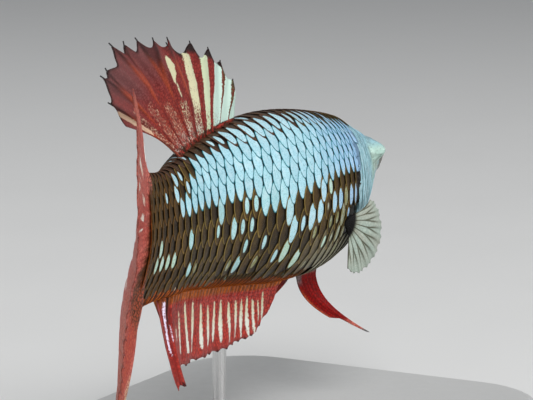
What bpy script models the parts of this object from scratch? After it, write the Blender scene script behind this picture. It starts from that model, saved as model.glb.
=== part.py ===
"""A betta fish, an adult short-finned male, as a still life-size model on a display stand.

Every length below is in millimetres, and world() turns it into metres. The body's own
coordinates are s, the distance behind the snout along the bent body axis; w, the distance out to
the fish's right; and z, the height over that axis. The world's +X runs towards the head, +Z up,
and the origin is the middle of the stand's underside.
"""

import math

import bmesh
import bpy
import numpy as np
from mathutils import Matrix, Vector

MM = 0.001
GAP = 0.3  # clear space between neighbouring pieces

# Where the fish stands, and how its tail swings to its right.
AXIS_HEIGHT = 26.0  # body axis over the floor
STAND_STATION = 26.0  # the station that lies over the stand's middle
TAIL_SWING = math.radians(26.0)
SWING_START = 22.0
SWING_END = 62.0

# The tail is also flexed: it lies out to the fish's left, most of all low down, and comes back
# towards the tail fin's rear edge.
FLEX_START = 46.0
FLEX_LENGTH = 10.0
FLEX_SHIFT = 0.6
FLEX_LOW_SHIFT = 3.0
FLEX_TOP = 2.0  # height where the lower shift begins
FLEX_DROP = 14.0
FLEX_RETURN = 0.065
FLEX_LOW_RETURN = 0.1

# Stations of the body: distance behind the snout, back, belly, half width.
STATIONS = (
    (0.0, 2.1, 0.1, 0.75),
    (2.0, 2.8, -1.2, 1.35),
    (5.0, 4.1, -3.3, 2.4),
    (8.0, 5.1, -5.0, 3.55),
    (12.0, 6.5, -6.7, 4.85),
    (16.0, 7.4, -7.9, 5.35),
    (20.0, 8.0, -8.3, 5.3),
    (25.0, 8.3, -8.0, 5.0),
    (30.0, 8.1, -7.3, 4.5),
    (35.0, 7.6, -6.6, 3.8),
    (40.0, 6.9, -5.9, 3.0),
    (45.0, 6.2, -5.2, 2.2),
    (50.0, 5.8, -4.9, 1.3),
    (55.0, 6.4, -5.1, 0.42),
)
LIP_ROUND = 0.7  # how far the lips bulge in front of station 0
SIDE_FULLNESS = 0.9  # under 1 makes a section squarer than an ellipse
THROAT_FULLNESS = 2.1  # the same for the lower half of the head
THROAT_END = 12.0
BACK_FULLNESS = 0.95
AROUND = 36  # points round a section

# Where the body is parted. The head ends at the gill opening, which bows backwards.
NAPE = 11.4
GILL_BOW = 3.7
TRUNK_END = 34.0
STEM_END = 55.0

# Gill covers, as plates let into the sides of the head. Angles run from the back round the side.
COVER_FRONT = 9.4
COVER_TOP = math.radians(58.0)
COVER_BOTTOM = math.radians(132.0)
COVER_THICKNESS = 0.8
COVER_BULGE = 1.2  # how far its front edge bows forwards
COVER_RADIUS = 5.0  # of the head there, which turns a gap into an angle

# Lower jaw, below a mouth that opens upwards.
MOUTH_HEIGHT = 1.35
MOUTH_CORNER = (2.5, 0.1)
JAW_HINGE = 4.3

# Eyes.
EYE_PLACE = (4.8, 2.15, 1.93)
EYE_RADIUS = 1.4
EYE_DEPTH = 1.15  # half thickness along the line of sight
EYE_FORWARD = math.radians(14.0)
EYE_UPWARD = math.radians(10.0)

# Fin plates.
FIN_THICKNESS = 0.55
FIN_ROOT_THICKNESS = 0.8
FIN_CLEAR = 0.35  # from the middle of a fin's root to the body

# Stand.
BASE_LENGTH = 56.0
BASE_WIDTH = 40.0
BASE_HEIGHT = 4.0
BASE_CORNER = 8.0
BASE_EDGE = 0.8
ROD_DIAMETER = 1.3
ROD_STATION = 28.5
ROD_OFFSET = -2.6  # on the fish's left, beside the anal fin
ROD_COLLAR_DIAMETER = 3.2
ROD_COLLAR_HEIGHT = 1.0


def smooth_curve(points):
    """A function through the points, with the slope at each one taken from its neighbours."""
    xs, ys = np.array(points, float).T
    slopes = np.gradient(ys, xs)

    def value(x):
        x = min(max(x, xs[0]), xs[-1])
        i = min(max(int(np.searchsorted(xs, x)) - 1, 0), len(xs) - 2)
        h = xs[i + 1] - xs[i]
        t = (x - xs[i]) / h
        rise = t * t * (3 - 2 * t)
        leave = t * (1 - t) * (1 - t)
        arrive = t * t * (t - 1)
        return (1 - rise) * ys[i] + rise * ys[i + 1] + h * (leave * slopes[i] + arrive * slopes[i + 1])

    return value


back_height = smooth_curve([(row[0], row[1]) for row in STATIONS])
belly_height = smooth_curve([(row[0], row[2]) for row in STATIONS])
half_width = smooth_curve([(row[0], row[3]) for row in STATIONS])


def smoothstep(t):
    t = min(max(t, 0.0), 1.0)
    return t * t * (3 - 2 * t)


def heading(s):
    return TAIL_SWING * smoothstep((s - SWING_START) / (SWING_END - SWING_START))


def walk_axis(step=0.25, length=90.0):
    """Places along the bent axis, from the snout back, as rows of station, x and y."""
    rows = [(0.0, STAND_STATION, 0.0)]
    for i in range(int(length / step)):
        s, x, y = rows[-1]
        turn = heading(s + step / 2)
        rows.append((s + step, x - step * math.cos(turn), y - step * math.sin(turn)))
    return np.array(rows)


AXIS = walk_axis()


def world(s, w, z):
    """The point in metres for a station s, an offset w to the fish's right and a height z."""
    ahead = min(s, 0.0)
    x = np.interp(s, AXIS[:, 0], AXIS[:, 1]) - ahead
    y = np.interp(s, AXIS[:, 0], AXIS[:, 2])
    turn = heading(s)
    return Vector((x + w * math.sin(turn), y - w * math.cos(turn), z + AXIS_HEIGHT)) * MM


def tail_flex(s, z):
    """How far the flexed tail lies out from its middle plane, as a value of w."""
    bent = smoothstep((s - FLEX_START) / FLEX_LENGTH)
    shift = FLEX_SHIFT + FLEX_LOW_SHIFT * smoothstep((FLEX_TOP - z) / FLEX_DROP)
    low_return = FLEX_LOW_RETURN * smoothstep(-z / 10)
    behind = max(s - STEM_END, 0.0)
    return behind * (FLEX_RETURN + low_return) - bent * shift


def skin_point(s, angle, out=0.0):
    """(s, w, z) on the body's surface, or out from it; angle 0 is the back, 90 degrees the right side."""
    shrink = math.sqrt(max(1 - (min(s, 0.0) / LIP_ROUND) ** 2, 0.0))
    middle = (back_height(s) + belly_height(s)) / 2
    tall = shrink * (back_height(s) - belly_height(s)) / 2 + out
    wide = shrink * half_width(s) + out
    throat = max(-math.cos(angle), 0.0) * (1 - smoothstep(s / THROAT_END))
    fullness = SIDE_FULLNESS + (THROAT_FULLNESS - SIDE_FULLNESS) * throat
    side = math.copysign(abs(math.sin(angle)) ** fullness, math.sin(angle))
    up = math.copysign(abs(math.cos(angle)) ** BACK_FULLNESS, math.cos(angle))
    z = middle + tall * up
    return s, wide * side + tail_flex(s, z), z


def gill_edge(angle):
    return NAPE + GILL_BOW * math.sin(angle) ** 2


def material(name, color, roughness, metallic=0.0):
    made = bpy.data.materials.new(name)
    made.use_nodes = True
    shader = made.node_tree.nodes["Principled BSDF"]
    shader.inputs["Base Color"].default_value = (*color, 1.0)
    shader.inputs["Roughness"].default_value = roughness
    shader.inputs["Metallic"].default_value = metallic
    made.diffuse_color = (*color, 1.0)
    return made


def clear_scene():
    for obj in list(bpy.data.objects):
        bpy.data.objects.remove(obj)


def add_object(name, verts, faces, finish=None):
    mesh = bpy.data.meshes.new(name)
    mesh.from_pydata(verts, [], faces)
    shape = bmesh.new()
    shape.from_mesh(mesh)
    bmesh.ops.recalc_face_normals(shape, faces=shape.faces)
    shape.to_mesh(mesh)
    shape.free()
    mesh.shade_smooth()
    mesh.set_sharp_from_angle(angle=math.radians(40))
    obj = bpy.data.objects.new(name, mesh)
    if finish:
        mesh.materials.append(finish)
    bpy.context.scene.collection.objects.link(obj)
    return obj


def make_cutter(obj):
    obj.hide_render = True
    obj.display_type = "WIRE"
    return obj


def boolean(obj, operation, other):
    cut = obj.modifiers.new(operation.title(), "BOOLEAN")
    cut.operation = operation
    cut.solver = "EXACT"
    cut.object = other


def loft(name, rings, finish):
    """A closed solid through rings of points, its two ends closed by fans."""
    count = len(rings[0])
    verts = [point for ring in rings for point in ring]
    faces = []
    for i in range(len(rings) - 1):
        for j in range(count):
            k = (j + 1) % count
            faces.append((i * count + j, i * count + k, (i + 1) * count + k, (i + 1) * count + j))
    for first in (0, (len(rings) - 1) * count):
        middle = sum((verts[first + j] for j in range(count)), Vector()) / count
        verts.append(middle)
        faces += [(first + j, first + (j + 1) % count, len(verts) - 1) for j in range(count)]
    return add_object(name, verts, faces, finish)


def body_length(name, front, rear, steps, finish, out=0.0):
    """The body between two boundaries, each a function of the angle round the section."""
    angles = [2 * math.pi * j / AROUND for j in range(AROUND)]
    rings = []
    for i in range(steps + 1):
        t = i / steps
        ring = []
        for angle in angles:
            s = front(angle) * (1 - t) + rear(angle) * t
            ring.append(world(*skin_point(s, angle, out)))
        rings.append(ring)
    return loft(name, rings, finish)


def slab_faces(rows, columns):
    """Faces of a closed slab: two sheets of rows by columns points, and a rim round both."""
    layer = rows * columns
    faces = []
    for i in range(rows - 1):
        for k in range(columns - 1):
            a = i * columns + k
            b = a + columns
            faces.append((a, a + 1, b + 1, b))
            faces.append((a + layer, b + layer, b + 1 + layer, a + 1 + layer))
    rim = list(range(columns - 1))
    rim += [i * columns + columns - 1 for i in range(rows - 1)]
    rim += [layer - 1 - k for k in range(columns - 1)]
    rim += [(rows - 1 - i) * columns for i in range(rows - 1)]
    for a, b in zip(rim, rim[1:] + rim[:1]):
        faces.append((a, b, b + layer, a + layer))
    return faces


def prism(name, outline, half_span):
    """A closed prism across the body, from an outline of (s, z) points."""
    verts = []
    for side in (-half_span, half_span):
        verts += [world(s, side, z) for s, z in outline]
    count = len(outline)
    faces = [tuple(range(count)), tuple(range(2 * count - 1, count - 1, -1))]
    faces += [(j, (j + 1) % count, (j + 1) % count + count, j + count) for j in range(count)]
    return make_cutter(add_object(name, verts, faces))


def cover_block(name, side, grow, inner, outer):
    """A curved block through one side of the head, where that gill cover lies."""
    across, along = 10, 6
    spread = grow / COVER_RADIUS
    verts = []
    for out in (-inner, outer):
        for i in range(across + 1):
            share = i / across
            angle = COVER_TOP - spread + (COVER_BOTTOM - COVER_TOP + 2 * spread) * share
            front = COVER_FRONT - COVER_BULGE * math.sin(math.pi * share) - grow
            rear = gill_edge(angle) + 2 * grow + GAP
            for k in range(along + 1):
                s, w, z = skin_point(front + (rear - front) * k / along, angle, out)
                verts.append(world(s, side * w, z))
    return make_cutter(add_object(name, verts, slab_faces(across + 1, along + 1)))


def jaw_outline(grow):
    corner_s, corner_z = MOUTH_CORNER
    return (
        (-3.0, MOUTH_HEIGHT + 1.4 + grow),
        (corner_s + grow, corner_z + grow),
        (JAW_HINGE + grow, -5.5),
        (-3.0, -5.5),
    )


def eye_solid(name, side, grow, finish=None):
    """A flattened ball that looks outwards, a little forwards and a little up."""
    shape = bmesh.new()
    bmesh.ops.create_uvsphere(shape, u_segments=16, v_segments=10, radius=1.0)
    mesh = bpy.data.meshes.new(name)
    shape.to_mesh(mesh)
    shape.free()
    wide = (EYE_RADIUS + grow) * MM
    deep = (EYE_DEPTH + grow) * MM
    s, w, z = EYE_PLACE
    turn = Matrix.Rotation(side * (math.pi / 2 - EYE_FORWARD), 4, "Z")
    tilt = Matrix.Rotation(EYE_UPWARD, 4, "Y")
    size = Matrix.Diagonal((deep, wide, wide, 1.0))
    mesh.transform(Matrix.Translation(world(s, side * w, z)) @ turn.inverted() @ tilt.inverted() @ size)
    mesh.shade_smooth()
    obj = bpy.data.objects.new(name, mesh)
    if finish:
        mesh.materials.append(finish)
    bpy.context.scene.collection.objects.link(obj)
    return obj


def make_head(skin):
    def snout(angle):
        return 0.02 - LIP_ROUND

    def head_rear(angle):
        return gill_edge(angle) - GAP / 2

    head = body_length("head", snout, head_rear, 13, skin)
    jaw = body_length("lower_jaw", snout, lambda angle: 8.0, 10, skin)
    boolean(head, "DIFFERENCE", prism("jaw_room", jaw_outline(GAP), 6.0))
    boolean(jaw, "INTERSECT", prism("jaw_shape", jaw_outline(0.0), 6.0))
    for word, side in (("right", 1), ("left", -1)):
        room = cover_block("cover_room_" + word, side, GAP, COVER_THICKNESS + GAP, 2.0)
        boolean(head, "DIFFERENCE", room)
        cover = body_length("gill_cover_" + word, lambda angle: 6.5, head_rear, 10, skin)
        shape = cover_block("cover_shape_" + word, side, 0.0, COVER_THICKNESS, 2.0)
        boolean(cover, "INTERSECT", shape)
        boolean(head, "DIFFERENCE", make_cutter(eye_solid("socket_" + word, side, GAP)))


def make_trunk(skin):
    def trunk_front(angle):
        return gill_edge(angle) + GAP / 2

    body_length("trunk", trunk_front, lambda angle: TRUNK_END - GAP / 2, 12, skin)
    body_length("tail_stem", lambda angle: TRUNK_END + GAP / 2, lambda angle: STEM_END, 10, skin)


def ray_path(root, knee, tip, steps):
    """Points along one fin ray, a curve that leaves the root towards the knee; all as (s, w, z)."""
    points = []
    for i in range(steps + 1):
        t = i / steps
        a, b, c = (1 - t) ** 2, 2 * t * (1 - t), t * t
        points.append(tuple(a * p + b * q + c * r for p, q, r in zip(root, knee, tip)))
    return points


def fin_plate(name, ray, count, steps, notch, finish):
    """A fin as one plate. ray(u) gives root, knee and tip for u from 0 to 1 along the fin, and
    the membrane between two rays falls short of their tips by the share notch."""
    columns = []
    for j in range(2 * count - 1):
        root, knee, tip = ray(j / (2 * count - 2))
        if j % 2:
            tip = tuple(r + (1 - notch) * (t - r) for r, t in zip(root, tip))
            knee = tuple(r + (1 - notch) * (k - r) for r, k in zip(root, knee))
        columns.append([world(*point) for point in ray_path(root, knee, tip, steps)])
    grid = np.array(columns)
    along = np.gradient(grid, axis=1)
    across = np.gradient(grid, axis=0)
    normal = np.cross(along, across)
    normal /= np.linalg.norm(normal, axis=2, keepdims=True)
    share = np.linspace(0.0, 1.0, steps + 1)[None, :, None]
    thick = FIN_THICKNESS + (FIN_ROOT_THICKNESS - FIN_THICKNESS) * np.clip(1 - 4 * share, 0, 1)
    offset = normal * thick * MM / 2
    verts = [Vector(p) for sheet in (grid + offset, grid - offset) for p in sheet.reshape(-1, 3)]
    return add_object(name, verts, slab_faces(len(columns), steps + 1), finish)


# Dorsal fin. Each curve gives its ray tips from front, 0, to rear, 1; the rear half leans to the
# fish's left.
DORSAL_RAYS = 14
DORSAL_NOTCH = 0.15
DORSAL_ROOT = (30.7, 44.6)
dorsal_tip_s = smooth_curve(
    [(0.0, 30.2), (0.15, 33.0), (0.31, 40.5), (0.46, 48.3), (0.69, 56.0), (0.85, 58.0), (1.0, 52.6)]
)
dorsal_tip_w = smooth_curve([(0.0, 0.0), (0.31, 0.0), (0.46, -0.5), (0.69, -3.5), (0.85, -4.0), (1.0, -3.4)])
dorsal_tip_z = smooth_curve(
    [(0.0, 10.0), (0.15, 13.6), (0.31, 15.8), (0.46, 16.9), (0.69, 17.0), (0.85, 14.5), (1.0, 10.2)]
)


def dorsal_ray(u):
    root_s = DORSAL_ROOT[0] + (DORSAL_ROOT[1] - DORSAL_ROOT[0]) * u**0.8
    root = (root_s, 0.0, back_height(root_s) + FIN_CLEAR)
    tip = (dorsal_tip_s(u), dorsal_tip_w(u), dorsal_tip_z(u))
    lean = 0.45 - 0.1 * u
    knee = (root[0] + lean * (tip[0] - root[0]), 0.25 * tip[1], root[2] + 0.55 * (tip[2] - root[2]))
    return root, knee, tip


# Anal fin: long and low, with a short pointed rear lobe that leans to the fish's right.
ANAL_RAYS = 20
ANAL_NOTCH = 0.06
ANAL_ROOT = (21.6, 49.6)
anal_tip_s = smooth_curve([(0.0, 23.4), (0.1, 25.8), (0.5, 36.4), (0.8, 45.0), (0.9, 48.6), (1.0, 55.0)])
anal_tip_w = smooth_curve([(0.0, 0.0), (0.7, 0.0), (0.9, 0.9), (1.0, 2.0)])
anal_tip_z = smooth_curve(
    [(0.0, -11.0), (0.1, -12.4), (0.3, -13.0), (0.6, -12.6), (0.8, -11.8), (0.9, -11.1), (1.0, -11.5)]
)


def anal_ray(u):
    root_s = ANAL_ROOT[0] + (ANAL_ROOT[1] - ANAL_ROOT[0]) * u
    root_z = belly_height(root_s) - FIN_CLEAR
    root = (root_s, tail_flex(root_s, root_z), root_z)
    tip = (anal_tip_s(u), anal_tip_w(u), anal_tip_z(u))
    knee = (root[0] + 0.35 * (tip[0] - root[0]), 0.2 * tip[1], root[2] + 0.5 * (tip[2] - root[2]))
    return root, knee, tip


# Tail fin: a rounded fan behind the stem.
CAUDAL_RAYS = 14
CAUDAL_NOTCH = 0.04
CAUDAL_ROOT = (6.0, -4.7)  # heights of its upper and lower ends
CAUDAL_TOP = math.radians(37.0)
CAUDAL_BOTTOM = math.radians(-45.0)
CAUDAL_MIDDLE_LENGTH = 13.8
CAUDAL_EDGE_LENGTH = 13.4


def caudal_ray(u):
    top, bottom = CAUDAL_ROOT
    angle = CAUDAL_TOP + (CAUDAL_BOTTOM - CAUDAL_TOP) * u
    length = CAUDAL_EDGE_LENGTH + (CAUDAL_MIDDLE_LENGTH - CAUDAL_EDGE_LENGTH) * math.sin(math.pi * u)
    root = (STEM_END + GAP, top + (bottom - top) * u)
    tip = (root[0] + length * math.cos(angle), root[1] + length * math.sin(angle))
    knee = (root[0] + 0.45 * (tip[0] - root[0]), root[1] + 0.56 * (tip[1] - root[1]))
    return tuple((s, tail_flex(s, z), z) for s, z in (root, knee, tip))


# Pectoral fins: fans on a short root just behind each gill cover.
PECTORAL_RAYS = 9
PECTORAL_NOTCH = 0.03
PECTORAL_STATION = 16.9
PECTORAL_ROOT = (-2.5, -4.5)  # heights of its upper and lower ends
PECTORAL_STAND_OFF = 0.45  # from the middle of the fin's root to the flank
PECTORAL_LENGTHS = (3.1, 3.8, 2.3)  # top ray, bottom ray, and what the middle ones have over them
PECTORAL_SLOPES = (20.0, -78.0)  # degrees over the level, for the top and bottom rays
PECTORAL_CUP = 0.5  # radians by which the rays set out less far forward than they end
PECTORAL_FORWARD = {"right": math.radians(87.0), "left": math.radians(35.0)}


def pectoral_ray(side, forward):
    """The ray function of one pectoral fin, swept forward by the given angle."""

    def ray(u):
        top, bottom = PECTORAL_ROOT
        root_z = top + (bottom - top) * u
        root_w = half_width(PECTORAL_STATION) + PECTORAL_STAND_OFF
        first, last, more = PECTORAL_LENGTHS
        length = first + (last - first) * u + more * math.sin(math.pi * u) ** 0.8
        slope = math.radians(PECTORAL_SLOPES[0] + (PECTORAL_SLOPES[1] - PECTORAL_SLOPES[0]) * u)
        reach = length * math.cos(slope)
        fall = length * math.sin(slope)
        start = forward - PECTORAL_CUP
        points = []
        for share, turn in ((0.0, start), (0.47, start), (1.0, forward)):
            s = PECTORAL_STATION - share * reach * math.sin(turn)
            w = root_w + share * reach * math.cos(turn)
            points.append((s, side * w, root_z + share * fall))
        return tuple(points)

    return ray


# Pelvic fins: narrow blades that end in a thread. The ways are (back, outward, down) from the
# root to the knee of the blade and to its tip.
PELVIC_RAYS = 3
PELVIC_ROOT = (17.5, 0.9)
PELVIC_SINK = 0.35  # under the belly's lowest line
PELVIC_BREADTH = 1.9
PELVIC_TAPER = 0.12
PELVIC_WAYS = {
    "right": ((-1.3, -0.5, 3.5), (-5.8, 4.0, 6.6)),
    "left": ((3.0, 0.3, 2.2), (8.6, 0.9, 3.6)),
}


def pelvic_ray(side, knee_way, tip_way):
    """The ray function of one pelvic fin."""

    def ray(u):
        root_s, root_w = PELVIC_ROOT
        spread = (u - 0.5) * PELVIC_BREADTH
        root_z = belly_height(root_s + spread) - PELVIC_SINK
        points = []
        for way, width in (((0.0, 0.0, 0.0), 1.0), (knee_way, 0.95), (tip_way, PELVIC_TAPER)):
            s = root_s + way[0] + spread * width
            points.append((s, side * (root_w + way[1]), root_z - way[2]))
        return tuple(points)

    return ray


def make_fins(finish, pale):
    fin_plate("dorsal_fin", dorsal_ray, DORSAL_RAYS, 7, DORSAL_NOTCH, finish)
    fin_plate("anal_fin", anal_ray, ANAL_RAYS, 5, ANAL_NOTCH, finish)
    fin_plate("caudal_fin", caudal_ray, CAUDAL_RAYS, 7, CAUDAL_NOTCH, finish)
    for word, side in (("right", 1), ("left", -1)):
        fan = pectoral_ray(side, PECTORAL_FORWARD[word])
        fin_plate("pectoral_fin_" + word, fan, PECTORAL_RAYS, 5, PECTORAL_NOTCH, pale)
        blade = pelvic_ray(side, *PELVIC_WAYS[word])
        fin_plate("pelvic_fin_" + word, blade, PELVIC_RAYS, 8, 0.0, finish)


def rod_top():
    """Height where the rod ends, just under the flank it holds."""
    middle = (back_height(ROD_STATION) + belly_height(ROD_STATION)) / 2
    tall = (back_height(ROD_STATION) - belly_height(ROD_STATION)) / 2
    reach = abs(ROD_OFFSET) - ROD_DIAMETER / 2
    side = min(reach / half_width(ROD_STATION), 1.0)
    angle = math.asin(side ** (1 / SIDE_FULLNESS))
    return middle - tall * math.cos(angle) ** BACK_FULLNESS


def turned(name, radius, low, high, place, finish, edge):
    """An upright round bar from low to high, with its rims rounded."""
    shape = bmesh.new()
    bmesh.ops.create_cone(
        shape,
        cap_ends=True,
        segments=16,
        radius1=radius * MM,
        radius2=radius * MM,
        depth=(high - low) * MM,
        matrix=Matrix.Translation((0, 0, (low + high) / 2 * MM)),
    )
    rims = [e for e in shape.edges if abs(e.verts[0].co.z - e.verts[1].co.z) < 1e-9]
    bmesh.ops.bevel(shape, geom=rims, offset=edge * MM, segments=2, affect="EDGES", profile=0.5)
    mesh = bpy.data.meshes.new(name)
    shape.to_mesh(mesh)
    shape.free()
    mesh.shade_smooth()
    mesh.set_sharp_from_angle(angle=math.radians(40))
    mesh.materials.append(finish)
    obj = bpy.data.objects.new(name, mesh)
    obj.location = (place.x, place.y, 0.0)
    bpy.context.scene.collection.objects.link(obj)
    return obj


def make_stand(board, steel):
    corners = []
    for quarter in range(4):
        centre_x = (BASE_LENGTH / 2 - BASE_CORNER) * (1 if quarter in (0, 3) else -1)
        centre_y = (BASE_WIDTH / 2 - BASE_CORNER) * (1 if quarter in (0, 1) else -1)
        for i in range(9):
            turn = math.radians(90 * quarter + 90 * i / 8)
            corners.append((centre_x + BASE_CORNER * math.cos(turn), centre_y + BASE_CORNER * math.sin(turn)))
    count = len(corners)
    verts = [Vector((x, y, z)) * MM for z in (0.0, BASE_HEIGHT) for x, y in corners]
    faces = [tuple(range(count)), tuple(range(count, 2 * count))]
    faces += [(j, (j + 1) % count, (j + 1) % count + count, j + count) for j in range(count)]
    base = add_object("stand_base", verts, faces, board)
    soften = base.modifiers.new("Edges", "BEVEL")
    soften.width = BASE_EDGE * MM
    soften.segments = 2
    soften.limit_method = "ANGLE"
    soften.angle_limit = math.radians(50)

    place = world(ROD_STATION, ROD_OFFSET, 0.0)
    low = BASE_HEIGHT + GAP
    high = AXIS_HEIGHT + rod_top() - GAP
    turned("stand_collar", ROD_COLLAR_DIAMETER / 2, low, low + ROD_COLLAR_HEIGHT, place, steel, 0.2)
    foot = low + ROD_COLLAR_HEIGHT + GAP
    turned("stand_rod", ROD_DIAMETER / 2, foot, high, place, steel, 0.1)


def main():
    clear_scene()
    skin = material("scaled_skin", (0.28, 0.5, 0.52), 0.35)
    finish = material("fin_membrane", (0.42, 0.07, 0.06), 0.45)
    pale = material("pale_fin", (0.6, 0.68, 0.6), 0.45)
    eye = material("eye_iris", (0.15, 0.3, 0.33), 0.08)
    board = material("painted_board", (0.62, 0.62, 0.6), 0.5)
    steel = material("brushed_rod", (0.6, 0.6, 0.6), 0.3, 1.0)

    make_head(skin)
    make_trunk(skin)
    for word, side in (("right", 1), ("left", -1)):
        eye_solid("eye_" + word, side, 0.0, eye)
    make_fins(finish, pale)
    make_stand(board, steel)


main()
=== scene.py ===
import math
import random

import bmesh
import bpy
import numpy as np
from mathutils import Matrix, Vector


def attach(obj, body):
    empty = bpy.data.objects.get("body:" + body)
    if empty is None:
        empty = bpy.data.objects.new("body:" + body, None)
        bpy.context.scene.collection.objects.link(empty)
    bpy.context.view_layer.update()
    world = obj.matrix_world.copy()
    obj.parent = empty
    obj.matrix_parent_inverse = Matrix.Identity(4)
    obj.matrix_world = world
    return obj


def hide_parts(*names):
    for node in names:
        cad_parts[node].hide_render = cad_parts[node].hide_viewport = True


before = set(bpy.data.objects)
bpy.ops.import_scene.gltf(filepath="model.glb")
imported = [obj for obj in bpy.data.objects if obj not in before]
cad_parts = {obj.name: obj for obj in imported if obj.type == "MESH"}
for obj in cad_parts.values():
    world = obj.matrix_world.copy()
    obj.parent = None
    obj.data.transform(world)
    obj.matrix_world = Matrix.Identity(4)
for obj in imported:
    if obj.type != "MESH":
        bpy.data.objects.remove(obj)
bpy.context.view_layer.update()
mm = 0.001
bothSides = {"right": 1, "left": -1}
print("frame loaded:", len(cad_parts), "nodes")


def link(name, data):
    obj = bpy.data.objects.new(name, data)
    bpy.context.scene.collection.objects.link(obj)
    return obj


# The camera looks at the middle of the fish, from behind its right side and a little above.
view = {"target": (0, -0.0011, 0.026), "distance": 0.2, "turn": 28, "rise": 9, "lens": 145.6, "sensor": 36}


def addCamera():
    turn = math.radians(view["turn"])
    rise = math.radians(view["rise"])
    back = Vector((-math.cos(turn) * math.cos(rise), -math.sin(turn) * math.cos(rise), math.sin(rise)))
    camera = link("camera", bpy.data.cameras.new("camera"))
    camera.data.lens = view["lens"]
    camera.data.sensor_width = view["sensor"]
    camera.data.clip_start = 0.001
    camera.location = Vector(view["target"]) + back * view["distance"]
    camera.rotation_euler = back.to_track_quat("Z", "Y").to_euler()
    bpy.context.scene.camera = camera


addCamera()

# The body's own coordinates, in millimetres: s behind the snout along the bent axis, w out to the
# fish's right, z over the axis. Sections are given at stations as back, belly and half width.
body = {
    "axisHeight": 26,
    "standStation": 26,
    "swing": math.radians(26),
    "swingStart": 22,
    "swingEnd": 62,
    "flexStart": 46,
    "flexLength": 10,
    "flexShift": 0.6,
    "flexLowShift": 3,
    "flexTop": 2,
    "flexDrop": 14,
    "flexReturn": 0.065,
    "flexLowReturn": 0.1,
    "stemEnd": 55,
    "lipRound": 0.7,
    "sideFullness": 0.9,
    "throatFullness": 2.1,
    "throatEnd": 12,
    "backFullness": 0.95,
    "nape": 11.4,
    "gillBow": 3.7,
    "coat": 0.16,
    "stations": (
        (0, 2.1, 0.1, 0.75),
        (2, 2.8, -1.2, 1.35),
        (5, 4.1, -3.3, 2.4),
        (8, 5.1, -5, 3.55),
        (12, 6.45, -6.7, 4.85),
        (16, 7.2, -7.9, 5.35),
        (20, 7.72, -8.3, 5.3),
        (25, 8.03, -8, 5),
        (30, 7.82, -7.3, 4.5),
        (35, 7.36, -6.6, 3.8),
        (40, 6.78, -5.9, 3),
        (45, 6.2, -5.2, 2.2),
        (50, 5.8, -4.9, 1.3),
        (55, 6.4, -5.1, 0.42),
    ),
}


def smoothCurve(points):
    xs, ys = np.array(points, float).T
    slopes = np.gradient(ys, xs)

    def value(x):
        x = np.clip(x, xs[0], xs[-1])
        i = np.clip(np.searchsorted(xs, x) - 1, 0, len(xs) - 2)
        h = xs[i + 1] - xs[i]
        t = (x - xs[i]) / h
        rise = t * t * (3 - 2 * t)
        bend = t * (1 - t) ** 2 * slopes[i] + t * t * (t - 1) * slopes[i + 1]
        return (1 - rise) * ys[i] + rise * ys[i + 1] + h * bend

    return value


def ease(t):
    t = np.clip(t, 0, 1)
    return t * t * (3 - 2 * t)


def rising(x, start, width):
    return ease((x - start) / width)


def falling(x, start, width):
    return ease((start - x) / width)


def hump(x, middle, reach):
    return np.exp(-(((x - middle) / reach) ** 2))


def between(x, low, high, soft):
    return ease((x - low) / soft + 0.5) * ease((high - x) / soft + 0.5)


def betweenDegrees(angle, low, high, soft):
    return between(angle, math.radians(low), math.radians(high), math.radians(soft))


def grain(x, y, seed=0):
    # a smooth random field from -1 to 1, about one unit to a lump
    x, y = np.broadcast_arrays(np.asarray(x, float), np.asarray(y, float))
    left, low = np.floor(x), np.floor(y)

    def corner(a, b):
        return np.sin(a * 127.1 + b * 311.7 + seed * 74.7) * 43758.5453 % 2 - 1

    across, up = ease(x - left), ease(y - low)
    bottom = corner(left, low) * (1 - across) + corner(left + 1, low) * across
    top = corner(left, low + 1) * (1 - across) + corner(left + 1, low + 1) * across
    return bottom * (1 - up) + top * up


backHeight = smoothCurve([row[:2] for row in body["stations"]])
bellyHeight = smoothCurve([(row[0], row[2]) for row in body["stations"]])
halfWidth = smoothCurve([(row[0], row[3]) for row in body["stations"]])


def heading(s):
    return body["swing"] * ease((s - body["swingStart"]) / (body["swingEnd"] - body["swingStart"]))


def walkAxis(step=0.25, length=90):
    rows = [(0, body["standStation"], 0)]
    for i in range(int(length / step)):
        s, x, y = rows[-1]
        turn = heading(s + step / 2)
        rows.append((s + step, x - step * math.cos(turn), y - step * math.sin(turn)))
    return np.array(rows)


axis = walkAxis()


def toWorld(s, w, z):
    x = np.interp(s, axis[:, 0], axis[:, 1]) - np.minimum(s, 0)
    y = np.interp(s, axis[:, 0], axis[:, 2])
    turn = heading(s)
    place = (x + w * np.sin(turn), y - w * np.cos(turn), z + body["axisHeight"])
    return np.stack(np.broadcast_arrays(*place), axis=-1) * mm


def tailFlex(s, z):
    bent = ease((s - body["flexStart"]) / body["flexLength"])
    shift = body["flexShift"] + body["flexLowShift"] * ease((body["flexTop"] - z) / body["flexDrop"])
    behind = np.maximum(s - body["stemEnd"], 0)
    return behind * (body["flexReturn"] + body["flexLowReturn"] * ease(-z / 10)) - bent * shift


def section(s, angle, out=0):
    # offset and height on the body's surface, before the tail is flexed
    shrink = np.sqrt(np.maximum(1 - (np.minimum(s, 0) / body["lipRound"]) ** 2, 0))
    back, belly = backHeight(s), bellyHeight(s)
    throat = np.maximum(-np.cos(angle), 0) * (1 - ease(s / body["throatEnd"]))
    fullness = body["sideFullness"] + (body["throatFullness"] - body["sideFullness"]) * throat
    side = np.sign(np.sin(angle)) * np.abs(np.sin(angle)) ** fullness
    up = np.sign(np.cos(angle)) * np.abs(np.cos(angle)) ** body["backFullness"]
    w = (shrink * halfWidth(s) + out) * side
    return w, (back + belly) / 2 + (shrink * (back - belly) / 2 + out) * up


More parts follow.
